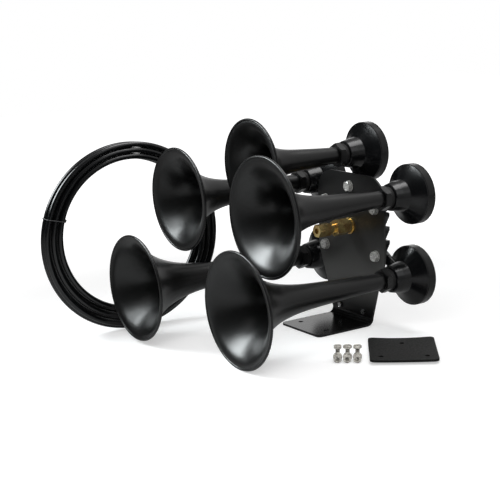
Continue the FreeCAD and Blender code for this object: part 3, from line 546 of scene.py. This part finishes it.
add_wall_bolts()
print("wall bolts at", [(round(spot.x, 3), round(spot.z, 3)) for spot in wall_bolt_spots()])

# %% [markdown]
# Two small screws with nuts sit low on the wall, just above the bend.

# %% Low screws
LOW_HALF = 27.0 * MM
LOW_HEIGHT = 17.0 * MM
LOW_NUT = 3.2 * MM
LOW_FLATS = 7.0 * MM
LOW_HEAD = 2.8 * MM
LOW_THREAD = (2.0 * MM, 0.7 * MM)
LOW_BORE = 2.2 * MM
LOW_IN_HEAD = 0.3 * MM
LOW_SCREW_END = SHEET + LOW_NUT + 0.9 * MM


def add_low_screws():
    screws, nuts = bmesh.new(), bmesh.new()
    for side, turn in ((-1, 0.2), (1, 0.75)):
        spot = Vector((LOW_HALF * side, WALL_FRONT, LOW_HEIGHT))
        place = aimed(spot, (0, 1, 0), turn)
        add_head(screws, place, LOW_FLATS, LOW_HEAD)
        add_thread(screws, place, *LOW_THREAD, -LOW_IN_HEAD, LOW_SCREW_END)
        behind = aimed(spot + Vector((0, SHEET, 0)), (0, 1, 0), turn)
        add_nut(nuts, behind, LOW_FLATS, LOW_BORE, LOW_THREAD[1], LOW_NUT)
    dress(finish_mesh("low_screws_threaded", screws), "low_screw_zinc", "low_screws")
    dress(finish_mesh("low_nuts_threaded", nuts), "low_screw_zinc", "low_screw_nuts")


add_low_screws()
print("low screws drawn")

# %% [markdown]
# The fixings for the foot stand on its right: three bolts on the ends of their shanks, a washer
# that leans on each, and three nuts on a flat in front of them.

# %% Loose fixings
FIXING_ANGLE = math.radians(50.0)
FIXING_SPOT = Vector((162.0, -64.0, 0.0)) * MM
FIXING_PITCH = 13.0 * MM
FIXING_ROW_GAP = 14.0 * MM
FIXING_FLATS = 10.0 * MM
FIXING_HEAD = 4.0 * MM
FIXING_LENGTH = 16.0 * MM
FIXING_THREAD = (3.0 * MM, 1.0 * MM)
FIXING_CHAMFER = 0.4 * MM
FIXING_NUT = 6.0 * MM
FIXING_TURNS = (0.1, 0.62, 0.35)
FIXING_TWIST = 0.3  # how much of a bolt's turn its nut has too
RIM = 6.0 * MM
RIM_BORE = 3.3 * MM
RIM_THICKNESS = 1.6 * MM
RIM_LEAN = math.radians(12.0)
LEAN_GAP = 3.2 * MM  # from the bolt's axis to the top edge of the washer that leans on it


def add_loose_fixings():
    """Three bolts, washers and nuts, each kind in one mesh."""
    along = Vector((math.cos(FIXING_ANGLE), math.sin(FIXING_ANGLE), 0))
    behind = Vector((-along.y, along.x, 0))
    up = Vector((0, 0, 1))
    face = up * math.sin(RIM_LEAN) - behind * math.cos(RIM_LEAN)
    reach = LEAN_GAP + RIM * math.sin(RIM_LEAN) + RIM_THICKNESS / 2 * math.cos(RIM_LEAN)
    middle = RIM * math.cos(RIM_LEAN) + RIM_THICKNESS / 2 * math.sin(RIM_LEAN)
    bolts, washers, nuts = bmesh.new(), bmesh.new(), bmesh.new()
    for index, turn in enumerate(FIXING_TURNS):
        spot = FIXING_SPOT + along * FIXING_PITCH * (index - 1)
        rear = spot + behind * FIXING_ROW_GAP
        place = aimed(rear + up * FIXING_LENGTH, -up, turn)
        add_head(bolts, place, FIXING_FLATS, FIXING_HEAD)
        add_thread(bolts, place, *FIXING_THREAD, -IN_HEAD, FIXING_LENGTH - FIXING_CHAMFER)
        leaning = aimed(rear - behind * reach + up * middle - face * RIM_THICKNESS / 2, face)
        add_washer(washers, leaning, RIM_BORE, RIM, RIM_THICKNESS)
        yaw = Matrix.Rotation((turn - FIXING_TURNS[2]) * FIXING_TWIST, 3, "Z")
        standing = aimed(spot + up * FIXING_FLATS / 2, yaw @ behind)
        add_nut(nuts, standing, FIXING_FLATS, *FIXING_THREAD, FIXING_NUT)
    dress(finish_mesh("foot_bolts_threaded", bolts), "loose_zinc", "foot_bolts")
    dress(finish_mesh("foot_washers_rounded", washers), "loose_zinc", "foot_washers")
    dress(finish_mesh("foot_nuts_threaded", nuts), "loose_zinc", "foot_nuts")


add_loose_fixings()
print("loose fixings drawn")

# %% [markdown]
# ## The rubber pad
#
# A sheet of rubber that was cut and packed never lies quite flat: its far corners stand up a
# little. A grid gives the sheet enough points to bend. Its square corners are rounded by moving
# the points there onto a quarter circle, Solidify gives it its thickness, and three cutters
# punch the holes of the foot.

# %% Pad
PAD_SPOT = Vector((175.0, 19.0, 0.0)) * MM
PAD_ANGLE = math.radians(53.0)
PAD_SIZE = (90.0 * MM, 101.0 * MM)
PAD_THICKNESS = 3.0 * MM
PAD_CORNER = 7.0 * MM
PAD_LIFT = 1.8 * MM
PAD_NEAR_LIFT = 0.63 * MM
PAD_GRID = (45, 50)
PAD_EDGE = 0.35 * MM
PAD_HOLE_RADIUS = 3.5 * MM
PAD_CUTTER = (-2.0 * MM, 7.0 * MM)
PAD_HOLES = ((-30.0 * MM, -32.5 * MM), (30.0 * MM, -32.5 * MM), (0.0, 25.5 * MM))


def round_corner(x, y):
    """Move a point of a corner's square onto a quarter disc."""
    inner = [half - PAD_CORNER for half in (PAD_SIZE[0] / 2, PAD_SIZE[1] / 2)]
    u = (abs(x) - inner[0]) / PAD_CORNER
    v = (abs(y) - inner[1]) / PAD_CORNER
    if u <= 0 or v <= 0:
        return x, y
    return (math.copysign(inner[0] + PAD_CORNER * u * math.sqrt(1 - v * v / 2), x),
            math.copysign(inner[1] + PAD_CORNER * v * math.sqrt(1 - u * u / 2), y))


def pad_lift(x, y):
    """How far the rubber stands off the floor."""
    across = abs(x) / (PAD_SIZE[0] / 2)
    far = max(y, 0) / (PAD_SIZE[1] / 2)
    near = max(-y, 0) / (PAD_SIZE[1] / 2)
    return PAD_LIFT * across ** 2 * far ** 2 + PAD_NEAR_LIFT * across ** 3 * near ** 3


def add_pad():
    """The bent sheet without its holes."""
    work = bmesh.new()
    bmesh.ops.create_grid(work, x_segments=PAD_GRID[0], y_segments=PAD_GRID[1], size=1.0)
    for vertex in work.verts:
        x, y = round_corner(vertex.co.x * PAD_SIZE[0] / 2, vertex.co.y * PAD_SIZE[1] / 2)
        vertex.co = (x, y, PAD_THICKNESS + pad_lift(x, y))
    pad = finish_mesh("rubber_pad_cut", work)
    pad.matrix_world = Matrix.Translation(PAD_SPOT) @ Matrix.Rotation(PAD_ANGLE, 4, "Z")
    thick = pad.modifiers.new("thickness", "SOLIDIFY")
    thick.thickness = PAD_THICKNESS
    thick.offset = -1
    return pad


def punch(pad):
    """Cut the three holes and keep the result as the pad's own mesh."""
    cutters = bmesh.new()
    low, high = PAD_CUTTER
    rows = [ring_row(0, low), ring_row(PAD_HOLE_RADIUS, low),
            ring_row(PAD_HOLE_RADIUS, high), ring_row(0, high)]
    for x, y in PAD_HOLES:
        turned(cutters, Matrix.Translation((x, y, 0)), rows, steps=32)
    cutter = finish_mesh("pad_cutters", cutters)
    cutter.matrix_world = pad.matrix_world
    cut = pad.modifiers.new("holes", "BOOLEAN")
    cut.object = cutter
    cut.operation = "DIFFERENCE"
    cut.solver = "EXACT"
    soften = pad.modifiers.new("edges", "BEVEL")
    soften.width = PAD_EDGE
    soften.segments = 2
    soften.limit_method = "ANGLE"
    soften.angle_limit = math.radians(50)
    bpy.context.view_layer.update()
    cut_pad = pad.evaluated_get(bpy.context.evaluated_depsgraph_get())
    result = bpy.data.meshes.new_from_object(cut_pad)
    pad.modifiers.clear()
    pad.data = result
    bpy.data.objects.remove(cutter)
    result.shade_smooth()
    result.set_sharp_from_angle(angle=math.radians(50))


rubber_pad = add_pad()
punch(rubber_pad)
dress(rubber_pad, "pad_rubber", "rubber_pad")
pad_mesh = rubber_pad.data
print("pad has", len(pad_mesh.vertices), "points and", len(pad_mesh.polygons), "faces")

# %% [markdown]
# ## Finishes
#
# Every finish is one Principled shader with a few noise patterns behind it. The patterns are
# laid in the object's own coordinates, so they are in real millimetres and stay put when the
# camera moves. Paint has three scales of detail: a fine grain that only bends the light (bump),
# patches of a few centimetres where it is a little duller, and rare specks of dust.
#
# Blender's Mix node holds the sockets of all its data types in one list, so they are picked by
# number: 0 is the factor, 2 and 3 are the numbers and 6 and 7 the colours to mix. Of its results
# 0 is the number and 2 the colour.


# %% Shader helpers
RANGE_KEYS = ("From Min", "From Max", "To Min", "To Max")


class Finish:
    """A Principled material with helpers for its noise, bump and colour patterns."""

    def __init__(self, name, colour, roughness, metallic=0.0, ior=1.5):
        self.material = bpy.data.materials.new(name)
        self.material.use_nodes = True
        self.tree = self.material.node_tree
        self.shader = self.tree.nodes["Principled BSDF"]
        self.shader.inputs["Base Color"].default_value = (*colour, 1)
        self.shader.inputs["Roughness"].default_value = roughness
        self.shader.inputs["Metallic"].default_value = metallic
        self.shader.inputs["IOR"].default_value = ior
        self.place = self.add("ShaderNodeTexCoord").outputs["Object"]
        self.normal = None

    def add(self, kind, **settings):
        """New node of a kind, with its settings."""
        node = self.tree.nodes.new(kind)
        for key, value in settings.items():
            setattr(node, key, value)
        return node

    def link(self, source, target):
        """Join an output to an input."""
        self.tree.links.new(source, target)

    def stretched(self, scale):
        """The object's coordinates, stretched by three factors."""
        mapping = self.add("ShaderNodeMapping")
        mapping.inputs["Scale"].default_value = scale
        self.link(self.place, mapping.inputs["Vector"])
        return mapping.outputs["Vector"]

    def noise(self, size, detail=2.0, place=None):
        """Soft noise whose features are about this size, in metres."""
        node = self.add("ShaderNodeTexNoise")
        node.inputs["Scale"].default_value = 1 / size
        node.inputs["Detail"].default_value = detail
        self.link(place or self.place, node.inputs["Vector"])
        return node.outputs["Fac"]

    def spread(self, value, low, high, start=0.35, end=0.65):
        """Stretch a value so that start becomes low and end becomes high."""
        node = self.add("ShaderNodeMapRange")
        for key, number in zip(RANGE_KEYS, (start, end, low, high)):
            node.inputs[key].default_value = number
        self.link(value, node.inputs["Value"])
        return node.outputs["Result"]

    def rough(self, value):
        """Let a value be the roughness."""
        self.link(value, self.shader.inputs["Roughness"])

    def tint(self, value, first, second):
        """Blend between two colours."""
        node = self.add("ShaderNodeMix", data_type="RGBA")
        node.inputs[6].default_value = (*first, 1)
        node.inputs[7].default_value = (*second, 1)
        self.link(value, node.inputs[0])
        self.link(node.outputs[2], self.shader.inputs["Base Color"])

    def bump(self, value, height):
        """Add a relief of this height, in metres, on top of what is there."""
        node = self.add("ShaderNodeBump")
        node.inputs["Strength"].default_value = 1.0
        node.inputs["Distance"].default_value = height
        self.link(value, node.inputs["Height"])
        if self.normal:
            self.link(self.normal, node.inputs["Normal"])
        self.normal = node.outputs["Normal"]
        self.link(self.normal, self.shader.inputs["Normal"])


finishes = {}
print("shader helpers ready")

# %% [markdown]
# The trumpets wear a satin black paint: dark, with wide soft reflections. Housings, caps and
# nuts have a slightly glossier coat, and the manifold is a casting with a coarser, greyer one.
# The same recipe makes all of them, with other numbers.


# %% Black paints
DUST = 0.002  # how much lighter a speck is


def paint(name, slot, colour, roughness, grain, relief, clear=0.0, shine=0.5):
    """Sprayed paint: fine grain, dull patches, some dust and a share of clear gloss on top."""
    made = Finish(name, colour, roughness)
    made.shader.inputs["Specular IOR Level"].default_value = shine
    made.shader.inputs["Coat Weight"].default_value = clear
    made.shader.inputs["Coat Roughness"].default_value = 0.12
    patches = made.noise(28 * MM, 3.0)
    made.rough(made.spread(patches, roughness - 0.01, roughness + 0.015))
    specks = made.spread(made.noise(1.3 * MM, 3.0), 0.0, 1.0, 0.62, 0.8)
    made.tint(specks, colour, [value + DUST for value in colour])
    made.bump(made.noise(grain, 2.0), relief)
    finishes[slot] = made.material


paint("satin_black_paint", "satin_black_trumpet",
      (0.0022, 0.0022, 0.0022), 0.31, 0.8 * MM, 0.004 * MM)
paint("housing_paint", "satin_black_housing",
      (0.0026, 0.0028, 0.0032), 0.24, 1.2 * MM, 0.008 * MM, 0.15, 0.36)
paint("cap_paint", "black_cap",
      (0.0020, 0.0020, 0.0020), 0.26, 1.2 * MM, 0.008 * MM, 0.1, 0.36)
paint("nut_paint", "black_nut",
      (0.0025, 0.0025, 0.0026), 0.28, 1.0 * MM, 0.008 * MM, 0.1)
paint("casting_paint", "black_casting",
      (0.013, 0.013, 0.0135), 0.38, 1.6 * MM, 0.05 * MM, 0.2)
print("paints:", sorted(finishes))

# %% [markdown]
# The bracket's powder coat is glossy on the foot and satin on the wall. A band low on the wall is
# painted lighter grey: painted light that stands in for the light bounced up from the floor. Both
# follow the height, the Z of the object's coordinates.


# %% Powder coat
COAT_BLACK = (0.002, 0.002, 0.002)
# Painted light: the lighter grey of the band low on the wall.
COAT_PAINTED_LIGHT = (0.075, 0.075, 0.072)


def powder_coat():
    """Coat of the bracket, which changes with the height."""
    made = Finish("powder_coat", COAT_BLACK, 0.24)
    split = made.add("ShaderNodeSeparateXYZ")
    made.link(made.place, split.inputs["Vector"])
    height = split.outputs["Z"]
    made.rough(made.spread(height, 0.18, 0.40, 5 * MM, 20 * MM))
    # Painted light: the wall is lighter grey between about 22 and 155 mm up, and black below and
    # above.
    outside_light_band = made.add("ShaderNodeMath", operation="MAXIMUM")
    made.link(made.spread(height, 1.0, 0.0, 22 * MM, 50 * MM), outside_light_band.inputs[0])
    made.link(made.spread(height, 0.0, 1.0, 75 * MM, 155 * MM), outside_light_band.inputs[1])
    made.tint(outside_light_band.outputs[0], COAT_PAINTED_LIGHT, COAT_BLACK)
    made.bump(made.noise(3 * MM, 2.0), 0.006 * MM)
    finishes["gloss_black_sheet"] = made.material


powder_coat()
print("bracket coated")

# %% [markdown]
# The inlet is turned brass. Bare metal gets its colour from reflection, so Metallic goes almost
# to 1, and the small rest is the dull film on it. A lathe leaves rings round the axis, which
# here runs along Y, and handling leaves darker, redder patches.


# %% Brass
def brass():
    """Turned metal with rings round the Y axis and stains."""
    bright, stained = (0.94, 0.72, 0.30), (0.55, 0.30, 0.12)
    made = Finish("turned_brass", bright, 0.2, metallic=0.9)
    rings = made.noise(1.2 * MM, 1.0, made.stretched((0.02, 1, 0.02)))
    stains = made.noise(8 * MM, 3.0)
    made.tint(made.spread(stains, 0.0, 1.0, 0.42, 0.7), bright, stained)
    made.rough(made.spread(stains, 0.12, 0.22))
    made.bump(rings, 0.008 * MM)
    finishes["brass"] = made.material


brass()
print("brass ready")

# %% [markdown]
# Fixings are zinc plated. Zinc is a pale grey metal with a blotchy, slightly rough surface, and
# the loose fixings have a faint yellow passivate that the wall bolts lack. Their plating is
# partly matt, so Metallic stays near a half. Ambient occlusion tells how hollow a spot is, and
# the roots of threads, inner corners and the gaps between parts are painted darker by it, as
# painted shade. The same recipe gives the low screws and the spring steel of the diaphragms.


# %% Zinc
def zinc(name, slot, bright, dull, roughness, metallic=1.0):
    """Plated metal: blotchy, with painted shade in its hollows."""
    made = Finish(name, bright, roughness, metallic)
    blotches = made.spread(made.noise(2.2 * MM, 3.0), 0.0, 0.6)
    # Painted shade: ambient occlusion darkens the roots of threads, inner corners and gaps between
    # parts.
    hollows = made.add("ShaderNodeAmbientOcclusion", samples=6)
    hollows.inputs["Distance"].default_value = 2 * MM
    blotches_and_shade = made.add("ShaderNodeMath", operation="ADD", use_clamp=True)
    made.link(blotches, blotches_and_shade.inputs[0])
    made.link(made.spread(hollows.outputs["AO"], 1.0, 0.0, 0.35, 0.85), blotches_and_shade.inputs[1])
    made.tint(blotches_and_shade.outputs[0], bright, dull)
    made.rough(made.spread(made.noise(1.1 * MM, 3.0), roughness - 0.08, roughness + 0.12))
    made.bump(made.noise(0.3 * MM, 2.0), 0.006 * MM)
    finishes[slot] = made.material


# The second colour is both the dark of the blotches and the painted shade in the hollows.
zinc("bright_zinc", "zinc_fixings", (0.88, 0.88, 0.85), (0.28, 0.28, 0.26), 0.30, 0.6)
zinc("yellow_zinc", "loose_zinc", (1.0, 0.97, 0.89), (0.06, 0.05, 0.04), 0.20, 0.45)
zinc("screw_zinc", "low_screw_zinc", (0.80, 0.80, 0.80), (0.05, 0.05, 0.05), 0.22)
zinc("spring_steel", "diaphragm_steel", (0.60, 0.60, 0.60), (0.50, 0.50, 0.50), 0.22)
print("metals ready")

# %% [markdown]
# The hose is extruded nylon with a wet-looking gloss. It is never quite even, so a very low
# relief with features of 25 mm makes its highlights waver. The pad and the seals are rubber:
# matt, a shade greyer than the paint, mottled, with a leathery grain.


# %% Plastics and rubber
def hose_nylon():
    """Glossy black with a few paler specks."""
    black, pale = (0.002, 0.0022, 0.0026), (0.005, 0.0053, 0.0056)
    made = Finish("hose_nylon", black, 0.18, ior=1.53)
    made.rough(made.spread(made.noise(25 * MM, 2.0), 0.16, 0.20))
    made.tint(made.spread(made.noise(3 * MM, 2.0), 0.0, 1.0, 0.55, 0.8), black, pale)
    made.bump(made.noise(25 * MM, 1.0), 0.006 * MM)
    finishes["hose_nylon"] = made.material


def tie_coating():
    """Plastic on the wire of the tie."""
    made = Finish("tie_coating", (0.02, 0.02, 0.021), 0.3)
    made.rough(made.spread(made.noise(2 * MM, 2.0), 0.22, 0.4))
    made.bump(made.noise(0.8 * MM, 2.0), 0.02 * MM)
    finishes["tie_wire"] = made.material


def rubber(name, slot, colour, lighter, roughness):
    """Matt rubber, mottled between two colours."""
    made = Finish(name, colour, roughness, ior=1.45)
    made.shader.inputs["Specular IOR Level"].default_value = 0.35
    mottle = made.noise(7 * MM, 5.0)
    made.tint(made.spread(mottle, 0.0, 1.0), colour, lighter)
    made.rough(made.spread(made.noise(3 * MM, 3.0), roughness - 0.06, roughness + 0.06))
    made.bump(made.noise(0.6 * MM, 3.0), 0.04 * MM)
    made.bump(made.noise(6 * MM, 2.0), 0.08 * MM)
    finishes[slot] = made.material


hose_nylon()
tie_coating()
rubber("pad_rubber", "pad_rubber",
       (0.005, 0.005, 0.0048), (0.008, 0.008, 0.0075), 0.72)
rubber("seal_rubber", "seal_rubber",
       (0.010, 0.010, 0.010), (0.014, 0.014, 0.014), 0.6)
print(len(finishes), "finishes")

# %% [markdown]
# Each solid has a slot in the record that names its finish, and each new piece was given one
# when it was made. Every piece now gets the material of its slot.

# %% Paint everything
node_slots = {part["node"]: part["material_slot"] for part in frame["record"]["subparts"]}


def wear(thing, slot):
    """Give a piece the one material of its slot."""
    thing.data.materials.clear()
    thing.data.materials.append(finishes[slot])


for name, node in nodes.items():
    wear(node, node_slots[name])
for name, slot in piece_slots.items():
    wear(bpy.data.objects[name], slot)
print("painted", len(nodes), "solids and", len(piece_slots), "new pieces")

# %% [markdown]
# ## Floor, backdrop and lamps
#
# The set stands on a white table in a white studio. Black paint has hardly any colour of its
# own: what one sees is the room in it. So the floor has two jobs. It catches soft shadows, and
# it shows bright in the undersides of the trumpets. Seen by the camera it has some light of its
# own, a little near the horn and more further off, where it fades into the white backdrop. Its
# colour is darker for reflections and bounced light than for the camera, or the undersides
# would turn grey.

# %% Floor
FLOOR_SIZE = 6.0
FLOOR_DROP = 0.3 * MM  # below the foot, so that the two faces don't share a plane
FLOOR_COLOUR = (0.36, 0.62)  # for other rays and for the camera
FLOOR_LIFT = (0.46, 1.0)  # the light of its own that the camera sees, near and far
FLOOR_FADE = (0.40, 0.95)  # distances in metres between which the one becomes the other
FLOOR_GLOSSY_LIFT = 0.05


class Shading:
    """Small helper that adds nodes to a tree and joins them."""

    def __init__(self, tree):
        self.tree = tree
        self.rays = tree.nodes.new("ShaderNodeLightPath").outputs

    def put(self, socket, value):
        """Give an input a number or join it to an output."""
        if hasattr(value, "is_output"):
            self.tree.links.new(value, socket)
        else:
            socket.default_value = value

    def math(self, operation, first, second):
        """Result of a sum or product of two values."""
        node = self.tree.nodes.new("ShaderNodeMath")
        node.operation = operation
        self.put(node.inputs[0], first)
        self.put(node.inputs[1], second)
        return node.outputs[0]

    def dot(self, vector, direction):
        """How far a vector points in a direction."""
        node = self.tree.nodes.new("ShaderNodeVectorMath")
        node.operation = "DOT_PRODUCT"
        self.put(node.inputs[0], vector)
        self.put(node.inputs[1], direction)
        return node.outputs["Value"]

    def ramp(self, value, start, end, low, high):
        """Soft step from low to high while the value runs from start to end."""
        node = self.tree.nodes.new("ShaderNodeMapRange")
        node.interpolation_type = "SMOOTHSTEP"
        for key, number in zip(RANGE_KEYS, (start, end, low, high)):
            node.inputs[key].default_value = number
        self.put(node.inputs["Value"], value)
        return node.outputs["Result"]

    def choose(self, switch, otherwise, chosen):
        """One of two values, by a switch that is 0 or 1."""
        node = self.tree.nodes.new("ShaderNodeMix")
        self.put(node.inputs[0], switch)
        self.put(node.inputs[2], otherwise)
        self.put(node.inputs[3], chosen)
        return node.outputs[0]

    def seen(self):
        """One for what the camera sees, straight or through something clear."""
        return self.math("MAXIMUM", self.rays["Is Camera Ray"], self.rays["Is Transmission Ray"])


def add_floor():
    bpy.ops.mesh.primitive_plane_add(size=FLOOR_SIZE, location=(0, 0, -FLOOR_DROP))
    floor = bpy.context.object
    floor.name = "studio_floor"
    material = bpy.data.materials.new("studio_floor")
    material.use_nodes = True
    tree = material.node_tree
    shader = tree.nodes["Principled BSDF"]
    shader.inputs["Roughness"].default_value = 0.9
    shader.inputs["Specular IOR Level"].default_value = 0.0
    work = Shading(tree)
    tree.links.new(work.choose(work.seen(), *FLOOR_COLOUR), shader.inputs["Base Color"])
    place = tree.nodes.new("ShaderNodeTexCoord").outputs["Object"]
    length = tree.nodes.new("ShaderNodeVectorMath")
    length.operation = "LENGTH"
    tree.links.new(place, length.inputs[0])
    lift = work.ramp(length.outputs["Value"], *FLOOR_FADE, *FLOOR_LIFT)
    glossy = work.math("MULTIPLY", work.rays["Is Glossy Ray"], FLOOR_GLOSSY_LIFT)
    shader.inputs["Emission Color"].default_value = (1, 1, 1, 1)
    tree.links.new(work.choose(work.seen(), glossy, lift), shader.inputs["Emission Strength"])
    floor.data.materials.append(material)


add_floor()
print("floor laid")

# %% [markdown]
# The world is white to the camera. It gives a low even light, and in reflections it is nearly
# black on the camera's side, where the studio is dark, and pale overhead and behind. A white card
# stands low behind on the left: it is what makes the foot of the bracket shine.

# %% World
# Each edge says between which two values of a direction's component a level comes up.
AMBIENT = 0.25
BACK_WAY = (0.26, 0.966, 0.0)
BACK_EDGE = (-0.1, 0.8)
BACK_LEVEL = (0.02, 0.45)
HEIGHT_EDGE = (0.1, 0.7)
HEIGHT_GAIN = (1.0, 1.3)
ZENITH_EDGE = (0.7, 0.9)
ZENITH_LEVEL = (0.0, 0.5)
CARD_WAY = (-0.817, 0.531, 0.225)
CARD_EDGE = (0.93, 0.98)
CARD_LEVEL = (0.0, 0.75)


def add_world():
    """Backdrop, ambient light and what is mirrored of the studio."""
    world = bpy.data.worlds.new("studio")
    bpy.context.scene.world = world
    world.use_nodes = True
    tree = world.node_tree
    shade = tree.nodes["Background"]
    work = Shading(tree)
    way = tree.nodes.new("ShaderNodeTexCoord").outputs["Generated"]
    up = work.dot(way, (0, 0, 1))
    back = work.ramp(work.dot(way, BACK_WAY), *BACK_EDGE, *BACK_LEVEL)
    high = work.ramp(up, *HEIGHT_EDGE, *HEIGHT_GAIN)
    zenith = work.ramp(up, *ZENITH_EDGE, *ZENITH_LEVEL)
    card = work.ramp(work.dot(way, CARD_WAY), *CARD_EDGE, *CARD_LEVEL)
    mirrored = work.math("ADD", work.math("ADD", work.math("MULTIPLY", back, high), zenith), card)
    level = work.choose(work.rays["Is Glossy Ray"], AMBIENT, mirrored)
    tree.links.new(work.choose(work.seen(), level, 1.0), shade.inputs["Strength"])
    shade.inputs["Color"].default_value = (1, 1, 1, 1)


add_world()
print("world set")

# %% [markdown]
# Four large soft lamps: a strong one on the left in front, which is the bright patch low inside
# each bell, one on the right behind, which draws the bright bands on the necks of the housings,
# one overhead, and a fill from the camera's side. The fill brings out zinc, rubber and floor, but
# no reflection shows it, so the paint stays black. The left lamp is turned towards the near
# bells and has a grid, which keeps its light in a narrower cone. Each lamp is placed by the
# angle it stands at around the set, its height angle and its distance.


# %% Lamps
MIDDLE = Vector((-0.03, -0.05, 0.14))
GRID_AIM = Vector((0.14, -0.24, 0.12))
GRID_SPREAD = math.radians(80)


def face(lamp, spot, aim):
    """Put a lamp on a spot, with its light towards the aim."""
    turn = (spot - aim).to_track_quat("Z", "Y").to_matrix().to_4x4()
    lamp.matrix_world = Matrix.Translation(spot) @ turn


def add_lamp(name, azimuth, elevation, distance, size, level, colour=(1, 1, 1)):
    """Softbox that faces the middle of the set; level is the brightness of its face."""
    data = bpy.data.lights.new(name, "AREA")
    data.shape = "RECTANGLE"
    data.size, data.size_y = size
    data.energy = level * math.pi * size[0] * size[1]
    data.color = colour
    lamp = add_to_scene(name, data)
    around, up = math.radians(azimuth), math.radians(elevation)
    way = Vector((math.cos(up) * math.cos(around), math.cos(up) * math.sin(around), math.sin(up)))
    face(lamp, MIDDLE + way * distance, MIDDLE)
    lamp.visible_camera = False
    print(name, "at", tuple(round(number, 2) for number in lamp.matrix_world.translation))
    return lamp


left = add_lamp("left_softbox", -116, 30, 0.8, (0.46, 0.37), 4.0, (0.93, 0.985, 1.0))
face(left, left.matrix_world.translation.copy(), GRID_AIM)
left.data.spread = GRID_SPREAD
add_lamp("right_softbox", 14, 36, 1.8, (0.7, 0.8), 1.0, (0.96, 0.98, 1.0))
add_lamp("overhead_softbox", 66, 74, 1.6, (0.95, 0.95), 5.0)
fill = add_lamp("front_fill", -40, 30, 1.8, (1.2, 1.0), 4.0)
fill.visible_glossy = False

# %% [markdown]
# ## Finish
#
# The Standard view transform shows colours as they are written.

# %% Finish
import json

bpy.context.scene.view_settings.view_transform = "Standard"
